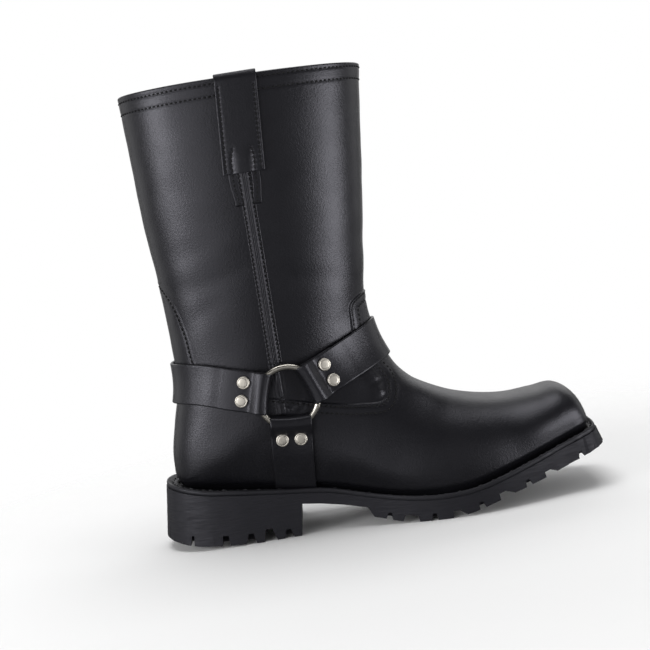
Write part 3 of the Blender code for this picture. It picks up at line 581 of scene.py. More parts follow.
def seam_ridges(x, z):
    """The closed seam down the ankle: two rolls and the groove between them, low enough for the ring."""
    off = np.abs(x - SEAM_X)
    rolls = SEAM_ROLL * np.exp(-(((off - SEAM_ROLL_OFF) / SEAM_ROLL_WIDTH) ** 2))
    ground = SEAM_GROUND * ramp(off, SEAM_GROUND_HALF, SEAM_GROUND_HALF - SEAM_GROUND_BLUR)
    low, high = SEAM_FLAT_Z
    shown = ramp(z, low, low + SEAM_FLAT_FADE[0]) * ramp(z, high, high - SEAM_FLAT_FADE[1])
    return (rolls + ground) * shown


def relief(points):
    """Height of the leather's face over the bare last, in millimetres."""
    x, y, z = points.T
    inside = edge_distance(x, z)
    plump = COUNTER_SHARE + (1 - COUNTER_SHARE) * ramp(x, *COUNTER_X)
    height = OVERLAY * plump * ramp(inside, -EDGE_BLUR, EDGE_BLUR)
    for row in STITCH_ROWS:
        trough = np.exp(-(((inside - row.inset) / TROUGH_WIDTH) ** 2))
        height -= TROUGH_DEPTH * trough * ramp(x, row.from_x - ROW_FADE, row.from_x)
    height += HEM_PROUD * ramp(z, HEM_Z - HEM_BLUR[0], HEM_Z + HEM_BLUR[1])
    for row_z in COLLAR_ROWS_Z:
        height -= COLLAR_TROUGH * np.exp(-(((z - row_z) / TROUGH_WIDTH) ** 2))
    for crease in CREASES:
        height += crease_height(crease, x, z)
    for ripple in RIPPLES:
        waves = np.sin(z / ripple.z + x / ripple.x) * np.sin(z / ripple.cross_z + y / ripple.cross_y)
        height += ripple.height * waves * ramp(z, *ripple.fade_z)
    height += seam_ridges(x, z)
    tuck = FEATHER_TUCK * (1 - ramp(z - sole_top(x), 0, FEATHER_HEIGHT))
    return height - tuck * (z < FEATHER_BELOW_Z)


# %% [markdown]
# The skin itself starts as a flat net of rows along the last and columns round it, like a pattern on
# the cutting table. Each row stops where it meets the sole. Squares near a step are cut finer while the
# net is still flat, which keeps the step crisp without a dense mesh everywhere. Then every point is
# laid on the last and lifted by the relief.

# %% Upper: skin
TUCKED = 2.6
SKIN_ROWS = 230
HALF_COLUMNS = 92
NET_STEPS = 900
NEAR_STEP = 2.2
NEAR_SEAM = 5.5
NEAR_HEM = 2.0
FINER_CUTS = 2


def net_angles(stations):
    """For each station, the angles of columns at equal steps from sole edge to sole edge."""
    fine = np.linspace(0, math.pi, NET_STEPS)
    at, angle = np.meshgrid(stations, fine, indexing="ij")
    points = last_points(at, angle)
    clear = points[..., 2] > sole_top(points[..., 0]) - TUCKED
    rows = []
    for line, is_clear in zip(points, clear):
        end = len(fine) if is_clear.all() else max(2, int(is_clear.argmin()))
        gone = with_way(line[:end])[:, 0]
        half = np.interp(np.linspace(0, gone[-1], HALF_COLUMNS + 1), gone, fine[:end])
        rows.append(np.concatenate([-half[:0:-1], half]))
    return np.array(rows)


def read_net(net, row, column):
    """Values of a net between its points."""
    i = np.clip(row.astype(int), 0, net.shape[0] - 2)
    j = np.clip(column.astype(int), 0, net.shape[1] - 2)
    a, b = row - i, column - j
    return (
        net[i, j] * (1 - a) * (1 - b)
        + net[i + 1, j] * a * (1 - b)
        + net[i, j + 1] * (1 - a) * b
        + net[i + 1, j + 1] * a * b
    )


skin_stations = np.linspace(0, ROW_AT[-1], SKIN_ROWS)
skin_net = net_angles(skin_stations)
skin_columns = skin_net.shape[1]


def on_skin(row, column):
    """Face points of the leather at places of the net."""
    at = np.interp(row, np.arange(SKIN_ROWS), skin_stations)
    angle = read_net(skin_net, row, column)
    bare = last_points(at, angle)
    return bare + relief(bare)[:, None] * last_normals(at, angle)


flat = bmesh.new()
net_row, net_column = np.divmod(np.arange(SKIN_ROWS * skin_columns), skin_columns)
corners = [flat.verts.new((i, j, 0)) for i, j in zip(net_row.tolist(), net_column.tolist())]
for face in grid_faces(SKIN_ROWS, skin_columns):
    flat.faces.new([corners[k] for k in face])
flat.verts.index_update()
bare_x, _, bare_z = last_points(skin_stations[net_row], skin_net.reshape(-1)).T
by_step = np.abs(edge_distance(bare_x, bare_z)) < NEAR_STEP
by_seam = (np.abs(bare_x - SEAM_X) < NEAR_SEAM) & (bare_z > SEAM_FLAT_Z[0]) & (bare_z < SEAM_FLAT_Z[1])
by_hem = bare_z > HEM_Z - NEAR_HEM
close_by = by_step | by_seam | by_hem
to_cut = {edge for face in flat.faces if any(close_by[v.index] for v in face.verts) for edge in face.edges}
bmesh.ops.subdivide_edges(flat, edges=list(to_cut), cuts=FINER_CUTS, use_grid_fill=True)
flat.verts.index_update()
places = np.array([v.co[:2] for v in flat.verts])
skin_points = on_skin(places[:, 0], places[:, 1])
skin_faces = [tuple(v.index for v in face.verts) for face in flat.faces]
flat.free()
skin_tree = BVHTree.FromPolygons(skin_points.tolist(), skin_faces)
print("skin:", len(skin_points), "points,", len(skin_faces), "faces")

# %% [markdown]
# A second net, one wall inside the last, is the brushed lining. A half-round rim joins it to the skin
# round the collar. Skin, rim and lining are one piece, welded where they meet and where the nets close
# down the back of the shaft.

# %% Upper: lining and rim
WALL = 1.8
LINING_ROWS = 60
RIM_STEPS = 6
WELD_MM = 0.02
UPRIGHT = np.array([0.0, 0.0, 1.0])
lining_stations = np.linspace(0, ROW_AT[-1], LINING_ROWS)
lining_angle = net_angles(lining_stations)
lining_at = np.broadcast_to(lining_stations[:, None], lining_angle.shape)
lining_points = last_points(lining_at, lining_angle) - WALL * last_normals(lining_at, lining_angle)
rim_outer = on_skin(np.full(skin_columns, SKIN_ROWS - 1.0), np.arange(skin_columns, dtype=float))
rim_inner = lining_points[-1]
middle = (rim_outer + rim_inner) / 2
arm = (rim_outer - rim_inner) / 2
half_wall = np.linalg.norm(arm, axis=1)[:, None]
turns = np.linspace(0, math.pi, RIM_STEPS + 1)
rim = [middle + arm * math.cos(turn) + half_wall * math.sin(turn) * UPRIGHT for turn in turns]
inside_points = np.concatenate([rim, lining_points[-2::-1]])
inside_faces = grid_faces(len(inside_points), skin_columns)
inside_faces = [tuple(k + len(skin_points) for k in face) for face in inside_faces]
leather_faces = len(skin_faces) + RIM_STEPS * (skin_columns - 1)
upper = make_piece(
    "boot_upper",
    np.concatenate([skin_points, inside_points.reshape(-1, 3)]),
    skin_faces + inside_faces,
    [cowhide, lining],
    ["upper"],
    (np.arange(len(skin_faces) + len(inside_faces)) >= leather_faces).astype(int),
    WELD_MM,
)
print("upper:", sum(len(face.vertices) - 2 for face in upper.data.polygons), "triangles")

# %% [markdown]
# A harness strap is a 2 mm strip of leather. At each ring its end goes over the wire, folds back under
# itself and is riveted, so near the ring there are two layers and a soft nose. A flat ribbon with
# thickness would miss the fold, so each row of the table places the strip's face and its back, from the
# single strip over the ring, round the nose and back to the cut end. A height is over the boot's side,
# or over the ring's plane where the share says so.

# %% Rings and the fold of a strap
STRAP_WIDTH = 28.0
STRAP_THICKNESS = 2.0
STRAP_SEAT = 1.6
RING_CENTRE = np.array([-56.0, 0.0, 98.0])
RING_RADIUS = 20.4
RING_WIRE = 4.2
RING_PLAY = 0.35
RING_FEET = 20
SQUEEZED_SHARE = 0.65
FOLD_BOW = 1.1
BOW_U = (24.0, 14.0)
LEAN_U = (32.0, 22.0)
Lap = namedtuple("Lap", "face_u face_height back_u back_height over_ring")
LOOP = [
    Lap(47.0, 2.9, 47.0, 0.9, 0.0),
    Lap(43.5, 3.35, 43.5, 1.35, 0.0),
    Lap(39.0, 3.8, 39.0, 1.8, 0.0),
    Lap(33.0, 4.05, 33.0, 2.05, 0.0),
    Lap(28.5, 4.1, 28.5, 2.1, 0.0),
    Lap(26.0, 4.1, 26.2, 2.1, 0.1),
    Lap(23.8, 4.2, 24.2, 2.25, 0.47),
    Lap(21.4, 4.35, 21.7, 2.4, 0.86),
    Lap(19.2, 4.45, 19.3, 2.4, 1.0),
    Lap(17.0, 4.0, 17.7, 2.1, 1.0),
    Lap(14.9, 2.9, 16.3, 1.2, 1.0),
    Lap(13.5, 1.0, 15.5, 0.1, 0.8),
    Lap(13.3, 1.4, 15.4, 1.3, 0.2),
    Lap(14.2, 0.4, 15.8, 1.5, 0.0),
    Lap(16.5, 0.0, 17.0, 1.3, 0.0),
    Lap(24.0, 0.0, 24.0, 1.7, 0.0),
    Lap(33.0, 0.0, 33.0, 1.8, 0.0),
    Lap(41.0, 0.0, 41.0, 1.2, 0.0),
]
LOOP_STEPS = 66
seat_tree = form_tree(STRAP_SEAT)


class Ring:
    """A ring laid flat against one side of the boot. Side -1 is the outer side."""

    def __init__(self, side):
        self.side = side
        self.name = "outer" if side < 0 else "inner"
        self.out = np.array([0.0, side, 0.0])
        spots = [RING_CENTRE + RING_RADIUS * way(turn) for turn in full_turn(RING_FEET)]
        feet = [hit(seat_tree, spot, self.out) for spot in spots]
        self.normal = unit(np.mean([normal for _, normal in feet], axis=0))
        highest = max(point @ self.normal for point, _ in feet)
        self.height = highest + STRAP_THICKNESS * SQUEEZED_SHARE + RING_PLAY + RING_WIRE / 2
        off = self.height - RING_CENTRE @ self.normal
        self.centre = RING_CENTRE + (0, off / self.normal[1], 0)


rings = [Ring(side) for side in (-1, 1)]
print("ring planes lean", [np.round(ring.normal, 2).tolist() for ring in rings])

# %% [markdown]
# A strip is made of its cross sections: face, back and two round cut edges. A strap knows where it lies:
# u runs from the ring's middle along it and v across it, and a line from there to the side of the boot
# finds its seat. Past the folded end, which is skived thin, it comes down onto the boot and goes on as a
# single strip.

# %% The way a strap lies
CUT_EDGE = 0.4
EDGE_SHARES = (0.2, 0.5, 0.8)
EDGE_COLUMNS = (0.7, 2.5)
MIDDLE_COLUMNS = 9
SKIVED_OVER = 16.0
AROUND_STEPS = 81


def strip_loops(face, back):
    """Cross sections of a strip from its face and back, with round cut edges."""
    loops = []
    for top, low in zip(face, back):
        edges = []
        for end, beside, shares in ((-1, -2, EDGE_SHARES), (0, 1, EDGE_SHARES[::-1])):
            out = CUT_EDGE * unit(top[end] - top[beside])
            edges.append([top[end] + share * (low[end] - top[end]) + out for share in shares])
        loops.append([*top, *edges[0], *low[::-1], *edges[1]])
    return np.array(loops)


def strip_piece(name, loops, materials, stands_for=()):
    """A closed strip through its cross sections, with flat ends."""
    rows, columns = loops.shape[:2]
    return make_piece(name, loops.reshape(-1, 3), tube_faces(rows, columns), materials, stands_for)


class Strap:
    """One strap of the harness. It leaves the ring at an angle of the side view."""

    def __init__(self, angle):
        self.angle = math.radians(angle)
        edge = STRAP_WIDTH / 2 - CUT_EDGE
        near, far = (edge - step for step in EDGE_COLUMNS)
        self.v = np.array([-edge, -near, *np.linspace(-far, far, MIDDLE_COLUMNS), near, edge])

    def seat(self, u, v, direction, bend=0.0):
        """A point of the boot's side under the strap, u from the ring's middle and v across the strap."""
        origin = RING_CENTRE + u * way(self.angle) + v * way(self.angle + bend + math.pi / 2)
        return hit(seat_tree, origin, direction)

    def loop(self, ring):
        """Face and back of the end that is folded round a ring, from the single strip to the cut end."""
        table = np.column_stack([np.arange(len(LOOP)), np.array(LOOP)])
        face, back = [], []
        for lap in hermite(table, np.linspace(0, len(LOOP) - 1, LOOP_STEPS)):
            lap = Lap(*lap)
            for made, u, height in ((face, lap.face_u, lap.face_height), (back, lap.back_u, lap.back_height)):
                bow = FOLD_BOW * ramp(u, *BOW_U)
                lean = ramp(u, *LEAN_U)
                row = []
                for v in self.v:
                    point, normal = self.seat(u - bow * (2 * v / STRAP_WIDTH) ** 2, v, ring.out)
                    normal = normal * (1 - lean) + ring.normal * lean
                    gap = ring.height - point @ ring.normal
                    row.append(point + normal * (height + lap.over_ring * gap))
                made.append(row)
        return np.array(face), np.array(back)

    def around(self, turn_at, bend):
        """Face and back of the single strip from the outer side round to the inner side."""
        feet, normals = [], []
        for turn in np.linspace(0, math.pi, AROUND_STEPS):
            swung = math.radians(bend) * math.sin(turn)
            direction = math.sin(turn) * way(self.angle + swung) - (0, math.cos(turn), 0)
            seats = [self.seat(turn_at, v, direction, swung) for v in self.v]
            feet.append([point for point, _ in seats])
            normals.append([normal for _, normal in seats])
        feet, normals = np.array(feet), np.array(normals)
        gone = with_way(feet[:, feet.shape[1] // 2])[:, 0]
        to_end = np.minimum(gone, gone[-1] - gone)
        lift = (LOOP[0].back_height * (1 - ramp(to_end, 0, SKIVED_OVER)))[:, None, None]
        return feet + (lift + STRAP_THICKNESS) * normals, feet + lift * normals


# %% [markdown]
# The heel strap and the instep strap each run from the outer ring round the boot to the inner ring. The
# sole strap is two pieces, one on each side, that go down into the welt.

# %% Straps
HEEL_STRAP_ANGLE = 164.5
HEEL_STRAP_BEND = 9.3
HEEL_TURN = 50.0
INSTEP_STRAP_ANGLE = 21.5
INSTEP_TURN = 49.0
SOLE_STRAP_ANGLE = 265.5
SOLE_STRAP_REACH = 64.0
SOLE_STRAP_SHARES = np.linspace(0.08, 1, 16)
SKIVED_SHARE = 0.7
INTO_WELT = 0.6


def strap_piece(label, face, back):
    """A strap of the harness, in place of its solid."""
    name = f"strap_{label}"
    strip_piece("harness_" + name, strip_loops(face, back), [strap_hide], [name])


def strap_round(label, strap, turn_at, bend):
    """A strap from the outer ring round the boot to the inner ring."""
    outer_face, outer_back = strap.loop(rings[0])
    inner_face, inner_back = strap.loop(rings[1])
    face, back = strap.around(turn_at, bend)
    face = np.concatenate([outer_face[::-1], face, inner_face])
    back = np.concatenate([outer_back[::-1], back, inner_back])
    strap_piece(label, face, back)


heel_strap = Strap(HEEL_STRAP_ANGLE)
instep_strap = Strap(INSTEP_STRAP_ANGLE)
sole_strap = Strap(SOLE_STRAP_ANGLE)
strap_round("heel", heel_strap, HEEL_TURN, HEEL_STRAP_BEND)
strap_round("instep", instep_strap, INSTEP_TURN, 0.0)
for ring in rings:
    face, back = sole_strap.loop(ring)
    down = way(sole_strap.angle)
    across = sole_strap.v[:, None] * way(sole_strap.angle + math.pi / 2)
    foot_x = RING_CENTRE[0] + across[:, 0] + SOLE_STRAP_REACH * down[0]
    foot_z = sole_top(foot_x) - INTO_WELT
    start = LOOP[0].face_u
    run = (foot_z - RING_CENTRE[2] - across[:, 2]) / down[2] - start
    low_face, low_back = [], []
    for share in SOLE_STRAP_SHARES:
        places = zip(start + share * run, sole_strap.v)
        feet = np.array([sole_strap.seat(u, v, ring.out)[0] for u, v in places])
        lift = LOOP[0].back_height * (1 - ramp(share, 0, SKIVED_SHARE))
        low_back.append(feet + lift * ring.out)
        low_face.append(feet + (lift + STRAP_THICKNESS) * ring.out)
    face = np.concatenate([face[::-1], low_face])
    back = np.concatenate([back[::-1], low_back])
    strap_piece(f"sole_{ring.name}", face, back)

# %% [markdown]
# Each ring is bent wire, welded and plated. Each rivet is a stamped cap: a short wall, a rounded rim, a
# shallow groove inside it and a nearly flat top. Both are profiles carried round an axis.

# %% Rings and rivets
WIRE_SIDES = 28
RING_SIDES = 120
RIVET_SIDES = 48
RIVET_SPACING = 12.7
RIVET_SEAT = 4.3
STRAP_RIVETS = 30.8
SOLE_STRAP_RIVETS = 29.2
RIVET_PROFILE = [
    (4.3, -0.3), (4.4, 0.0), (4.4, 0.6), (4.33, 0.9), (4.14, 1.14), (3.85, 1.28), (3.6, 1.3), (3.44, 1.22),
    (3.28, 1.17), (3.12, 1.22), (2.96, 1.33), (2.4, 1.4), (1.4, 1.46), (0.5, 1.48),
]


def turned(profile, foot, axis, sides):
    """Loops of a profile of (radius, height) carried round an axis."""
    first = unit(np.cross(axis, UPRIGHT))
    second = np.cross(axis, first)
    turns = full_turn(sides)[:, None]
    rim = np.cos(turns) * first + np.sin(turns) * second
    return np.array([foot + radius * rim + height * axis for radius, height in profile])


for ring in rings:
    wire = full_turn(WIRE_SIDES)
    profile = [(RING_RADIUS + RING_WIRE / 2 * math.cos(w), RING_WIRE / 2 * math.sin(w)) for w in wire]
    loops = turned(profile, ring.centre, ring.normal, RING_SIDES)
    faces = grid_faces(WIRE_SIDES, RING_SIDES, closed=True, endless=True)
    name = f"ring_{ring.name}"
    make_piece("harness_" + name, loops.reshape(-1, 3), faces, [nickel], [name])
    for strap, label, u in (
        (heel_strap, "heel", STRAP_RIVETS),
        (instep_strap, "instep", STRAP_RIVETS),
        (sole_strap, "sole", SOLE_STRAP_RIVETS),
    ):
        for number, v in enumerate((-RIVET_SPACING / 2, RIVET_SPACING / 2), 1):
            point, normal = strap.seat(u, v, ring.out)
            loops = turned(RIVET_PROFILE, point + RIVET_SEAT * normal, normal, RIVET_SIDES)
            name = f"rivet_{label}_{ring.name}_{number}"
            strip_piece("cap_" + name, loops, [cap_nickel], [name])

# %% [markdown]
# Every seam on the boot is lockstitched: short dashes of thread that dip into the leather at each hole.
# One stitch is a small spindle. A row of them is laid along a line on the boot at the machine's pitch,
# all in one mesh, because hundreds of objects would be slow.

# %% Stitches
Stitch = namedtuple("Stitch", "pitch length thickness uneven")
UPPER_STITCH = Stitch(3.3, 2.4, 1.15, 0.0)
SPINDLE = [(-0.5, 0.25), (-0.4, 0.75), (-0.15, 1.0), (0.15, 1.0), (0.4, 0.75), (0.5, 0.25)]
SPINDLE_SIDES = 8
SINK_SHARE = 0.35
UNEVEN_TURN = 2.4
THREAD_LIFT = 0.1
SHAFT_X = -58.0
SHAFT_ROW_STEPS = 400
FRONT_CLEAR = 6.0


def on_line(gone, line, at):
    """The place on a line some way along it."""
    return np.array([np.interp(at, gone, column) for column in line.T])


def stitches(name, rows, stitch, yarn=thread):
    """One piece of all the stitches along rows of (points, normals)."""
    points, faces = [], []
    spindle_faces = tube_faces(len(SPINDLE), SPINDLE_SIDES)
    turns = full_turn(SPINDLE_SIDES)
    reach = stitch.pitch / 4
    for line, normals in rows:
        line, normals = np.asarray(line), np.asarray(normals)
        gone = with_way(line)[:, 0]
        for count, at in enumerate(np.arange(stitch.pitch / 2, gone[-1], stitch.pitch)):
            along = unit(on_line(gone, line, at + reach) - on_line(gone, line, at - reach))
            raised = on_line(gone, normals, at)
            raised = unit(raised - (raised @ along) * along)
            beside = np.cross(along, raised)
            middle = on_line(gone, line, at) + stitch.uneven * math.sin(UNEVEN_TURN * count) * raised
            first = len(points)
            for share, width in SPINDLE:
                sink = stitch.thickness * SINK_SHARE * (2 * share) ** 2
                spot = middle + share * stitch.length * along - sink * raised
                radius = stitch.thickness / 2 * width
                for turn in turns:
                    points.append(spot + radius * (math.cos(turn) * raised + math.sin(turn) * beside))
            faces += [tuple(k + first for k in face) for face in spindle_faces]
    return make_piece(name, points, faces, [yarn])


def lifted(found, height):
    """Places found on the boot, raised by a height, and their normals."""
    return [point + height * normal for point, normal in found], [normal for _, normal in found]


def shaft_row(z):
    """A level line round the shaft."""
    turns = np.linspace(0, 2 * math.pi, SHAFT_ROW_STEPS)
    found = [hit(skin_tree, (SHAFT_X, 0, z), (math.cos(turn), math.sin(turn), 0)) for turn in turns]
    return lifted(found, THREAD_LIFT)


def edge_row(inset, side, from_x):
    """A line that runs beside the overlay's edge on one side of the boot, from its front back to from_x."""
    run = unit(np.gradient(overlay_curve, axis=0))
    inside = overlay_curve + inset * np.column_stack([-run[:, 1], run[:, 0]])
    found = [side_hit(skin_tree, side, x, z) for x, z in inside if x > from_x]
    found = [(point, normal) for point, normal in found if point is not None]
    return lifted([place for place in found if abs(place[0][1]) > FRONT_CLEAR], THREAD_LIFT)


stitches("collar_stitches", [shaft_row(z) for z in COLLAR_ROWS_Z], UPPER_STITCH)
edge_rows = [edge_row(row.inset, side, row.from_x) for row in STITCH_ROWS for side in (-1, 1)]
stitches("overlay_stitches", edge_rows, UPPER_STITCH)

# %% [markdown]
# The welt is a strip of leather round the upper, stitched to it and to the sole. Seen from the side it
# is the lighter line on top of the rubber. Its section is carried along the sole's edge: an outer wall
# with a rounded top, a sunk channel for the stitches, and the inside against the upper.

# %% Welt
WELT_STITCH = Stitch(4.8, 3.2, 1.1, 0.25)
WELT_SETBACK = -0.1
WELT_SPLIT = 9
WELT_MEETS = 0.1
STITCH_LINE_SHARE = 0.58
STITCH_LINE_DROP = 0.8
# Share of the ledge from the outer edge, and drop from the top in millimetres
WELT_SECTION = [
    (0.08, 3.9), (0.03, 3.2), (0.0, 2.8), (0.0, 1.2), (0.03, 0.5), (0.09, 0.12), (0.17, 0.0), (0.26, 0.06),
    (0.34, 0.4), (0.42, 1.0), (0.55, 1.3), (0.8, 1.3), (1.0, 1.1), (1.0, 3.8),
]


def sole_outline(setback, split):
    """The sole's edge from above, moved in by setback, each span of the table split, and its outward way."""
    outer = [(row.x, -row.outer) for row in SOLE_EDGE]
    inner = [(row.x, row.inner) for row in SOLE_EDGE[-2:0:-1]]
    table = with_way(inner[-1:] + outer + inner + outer[:2])
    spans = zip(table[1:-2, 0], table[2:-1, 0])
    points = hermite(table, np.concatenate([np.linspace(*span, split, endpoint=False) for span in spans]))
    along = unit(np.roll(points, -1, axis=0) - np.roll(points, 1, axis=0))
    outward = np.column_stack([along[:, 1], -along[:, 0]])
    return points - setback * outward, outward


def on_ledge(edge, ledge, share, drop):
    """A place of the welt: a share of the ledge in from its edge, and a drop from the sole's top line."""
    x, y = edge + share * ledge
    return x, y, float(sole_top(x)) - drop


welt_tree = form_tree(WELT_MEETS)
loops, stitch_line = [], []
for edge, out in zip(*sole_outline(WELT_SETBACK, WELT_SPLIT)):
    start = Vector((*edge, float(sole_top(edge[0]))))
    meets, _, _, _ = welt_tree.ray_cast(start, Vector((*-out, 0)))
    ledge = np.array(meets)[:2] - edge
    loops.append([on_ledge(edge, ledge, share, drop) for share, drop in WELT_SECTION])
    stitch_line.append(on_ledge(edge, ledge, STITCH_LINE_SHARE, STITCH_LINE_DROP))
faces = grid_faces(len(loops), len(WELT_SECTION), closed=True, endless=True)
make_piece("welt_strip", np.array(loops).reshape(-1, 3), faces, [welt_leather], ["welt"])
stitch_line.append(stitch_line[0])
upright_ways = np.tile(UPRIGHT, (len(stitch_line), 1))
stitches("welt_stitches", [(stitch_line, upright_ways)], WELT_STITCH, welt_thread_painted_highlight)

# %% [markdown]
# The lug sole is moulded in one piece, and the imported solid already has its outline, heel, lugs and
# tread. It has knife-sharp edges and flat facets round its wall, which no moulding has. A copy of the
# solid is welded and its flat faces are joined. Then each facet of the wall is cut by upright planes, the
# cuts are pushed out to the round outline, and a bevel rounds the edges. Last, the wall's normals are
# taken from the outline, so that no facet shows in the gloss.

# %% Lug sole
LUG_ROUND = 0.45 * MM
FACETS_A_SPAN = 2
CUTS_A_FACET = 4
FACET_REACH = 15.0 * MM
WALL_DEPTH = 1.0 * MM
FACES_OUT = 0.9
SOLE_WELD = 0.01 * MM
ON_CUT = 0.001 * MM
ONE_PLANE = math.radians(0.5)
SHARP_EDGE = math.radians(30)
BEVELLED_EDGE = math.radians(35)
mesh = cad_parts["outsole"].data.copy()
shape = bmesh.new()
shape.from_mesh(mesh)
bmesh.ops.remove_doubles(shape, verts=shape.verts, dist=SOLE_WELD)
bmesh.ops.dissolve_limit(shape, angle_limit=ONE_PLANE, verts=list(shape.verts), edges=list(shape.edges))
wall_edge, wall_out = sole_outline(0.0, FACETS_A_SPAN * CUTS_A_FACET)
facet_ends = np.concatenate([wall_edge[::CUTS_A_FACET], wall_edge[:1]])
cut_count = 0
for i, (spot, out) in enumerate(zip(wall_edge, wall_out)):
    facet, step = divmod(i, CUTS_A_FACET)
    if step == 0:
        continue
    start, stop = facet_ends[facet], facet_ends[facet + 1]
    bulge = (spot - start - step / CUTS_A_FACET * (stop - start)) @ out
    at = Vector(in_frame((*spot, 0)))
    outward = Vector((*out, 0))
    near = set()
    for face in shape.faces:
        off = (face.calc_center_median() - at) * Vector((1, 1, 0))
        on_wall = off.length < FACET_REACH and off @ outward > -WALL_DEPTH
        if on_wall and face.normal @ outward > FACES_OUT:
            near.update((face, *face.edges, *face.verts))
    across = (-out[1], out[0], 0)
    cut = bmesh.ops.bisect_plane(shape, geom=list(near), dist=ON_CUT, plane_co=at, plane_no=across)
    for part in cut["geom_cut"]:
        if isinstance(part, bmesh.types.BMVert):
            part.co += outward * bulge * MM
            cut_count += 1
shape.to_mesh(mesh)
shape.free()
mesh.materials.clear()
mesh.materials.append(rubber)
mesh.shade_smooth()
mesh.set_sharp_from_angle(angle=SHARP_EDGE)
sole = add_object("lug_sole", mesh)
bevel = sole.modifiers.new("moulded_edges", "BEVEL")
bevel.width = LUG_ROUND
bevel.segments = 2
bevel.limit_method = "ANGLE"
bevel.angle_limit = BEVELLED_EDGE
bevel.harden_normals = True
print("sole wall:", cut_count, "points added")

# %% Round wall of the sole
NORMALS_A_SPAN = 40
mesh = bpy.data.meshes.new_from_object(sole.evaluated_get(bpy.context.evaluated_depsgraph_get()))
sole.modifiers.clear()
sole.data = mesh
spots, outs = sole_outline(0.0, NORMALS_A_SPAN)
spots = in_frame(np.column_stack([spots, np.zeros(len(spots))]))[:, :2]
normals = np.array([corner.vector for corner in mesh.corner_normals])
smoothed = 0
for face in mesh.polygons:
    nearest = np.linalg.norm(spots - np.array(face.center)[:2], axis=1).argmin()
    beyond = (np.array(face.center)[:2] - spots[nearest]) @ outs[nearest]
    if beyond > -WALL_DEPTH and np.array(face.normal)[:2] @ outs[nearest] > FACES_OUT:
        for corner, point in zip(face.loop_indices, face.vertices):
            place = np.array(mesh.vertices[point].co)[:2]
            out = outs[np.linalg.norm(spots - place, axis=1).argmin()]
            normals[corner] = (*out, face.normal.z)
        smoothed += 1
mesh.normals_split_custom_set(unit(normals).tolist())
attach(sole, "root")
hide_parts("outsole")
print("lug_sole:", len(mesh.polygons), "faces,", smoothed, "on the wall")

# %% [markdown]
# Inside lies a felt footbed, cut to the last and turned up a little at its edge. It is a strip with a
# cross section for every row across the foot, each as wide as the lining leaves free.

# %% Footbed
FOOTBED_REACH = (-133.0, 138.0)
FOOTBED_ROWS = 90
FOOTBED_COLUMNS = 31
FOOTBED_EDGE = 1.6
FOOTBED_CURL = 6
FOOTBED_THICKNESS = 2.0
FOOTBED_PLAY = 0.3
lining_tree = form_tree(-WALL - FOOTBED_PLAY)
share = np.linspace(-1, 1, FOOTBED_COLUMNS)
curl = FOOTBED_EDGE * np.abs(share) ** FOOTBED_CURL
loops = []
for x in np.linspace(*FOOTBED_REACH, FOOTBED_ROWS):
    z = float(sole_top(x))
    outer_y, inner_y = (side_hit(lining_tree, side, x, z)[0][1] for side in (-1, 1))
    y = (outer_y + inner_y) / 2 + share * (inner_y - outer_y) / 2
    top = np.column_stack([np.full(FOOTBED_COLUMNS, x), y, z + curl])
    loops.append([*top, *(top - FOOTBED_THICKNESS * UPRIGHT)[::-1]])
strip_piece("footbed", np.array(loops), [footbed_cloth], ["insole"])

# %% [markdown]
# A strip covers the seam down each side of the shaft, with two rolls of leather along its middle and a
# row of stitches on each side of them. It is one section carried down the shaft. Tight thread draws the
# leather down, most of all at the needle holes, so the rows sink and rise along their way like beads.

# %% Side seams
SEAM_STITCH = Stitch(3.1, 2.1, 0.9, 0.0)
SEAM_STITCH_OFF = 3.6
SEAM_THREAD = 0.7
SEAM_STEPS = 340
SEAM_MIDDLE = -61.3
SEAM_Z = (257.0, 121.0)
PUCKER_DEPTH = 0.5
PUCKER_WIDTH = 0.85
HOLE_SHARE = 0.65
HALF_SEAM_SECTION = [
    (4.75, -0.6), (4.75, 0.15), (4.6, 0.4), (4.35, 0.6), (4.1, 0.72), (3.85, 0.76), (3.6, 0.78), (3.35, 0.78),
    (3.1, 0.78), (2.8, 0.78), (2.5, 0.78), (2.15, 0.82), (2.0, 1.0), (1.95, 1.4), (1.8, 1.75), (1.5, 1.88),
    (1.2, 1.9), (0.6, 1.88), (0.35, 1.78), (0.15, 1.45), (0.0, 1.1),
]
SEAM_SECTION = [(-off, height) for off, height in HALF_SEAM_SECTION[:-1]] + HALF_SEAM_SECTION[::-1]
bare_tree = form_tree(0.0)


def pucker(off, gone):
    """How far the leather is drawn down, off a row of stitches and some way along it from its first hole."""
    at_hole = math.cos(math.pi * gone / SEAM_STITCH.pitch) ** 2
    return PUCKER_DEPTH * math.exp(-((off / PUCKER_WIDTH) ** 2)) * (1 - HOLE_SHARE + HOLE_SHARE * at_hole)


def side_row(tree, side, places, height):
    """A line on one side of the boot through places of the side view, raised by a height, and its normals."""
    return lifted([side_hit(tree, side, x, z) for x, z in places], height)


for ring in rings:
    heights = np.linspace(*SEAM_Z, SEAM_STEPS)
    loops = []
    for z in heights:
        loop = []
        for off, height in SEAM_SECTION:
            point, normal = side_hit(bare_tree, ring.side, SEAM_MIDDLE + off, z)
            sunk = pucker(abs(off) - SEAM_STITCH_OFF, heights[0] - z)
            loop.append(point + (height - sunk) * normal)
        loops.append(loop)
    strip_piece(f"seam_cover_{ring.name}", np.array(loops), [cowhide], [f"side_seam_{ring.name}"])
    rows = []
    for hand in (-1, 1):
        places = [(SEAM_MIDDLE + hand * SEAM_STITCH_OFF, z) for z in heights]
        rows.append(side_row(bare_tree, ring.side, places, SEAM_THREAD))
    stitches(f"seam_stitches_{ring.name}", rows, SEAM_STITCH)

# %% [markdown]
# A pull strap is folded over the collar on each side, for two fingers to haul on. It runs up the
# outside, over the rim and down the lining. Its lower end arches over the seam. Each cross section
# follows from a height, the share of the rim that the strap has crossed, and the turn of its face.

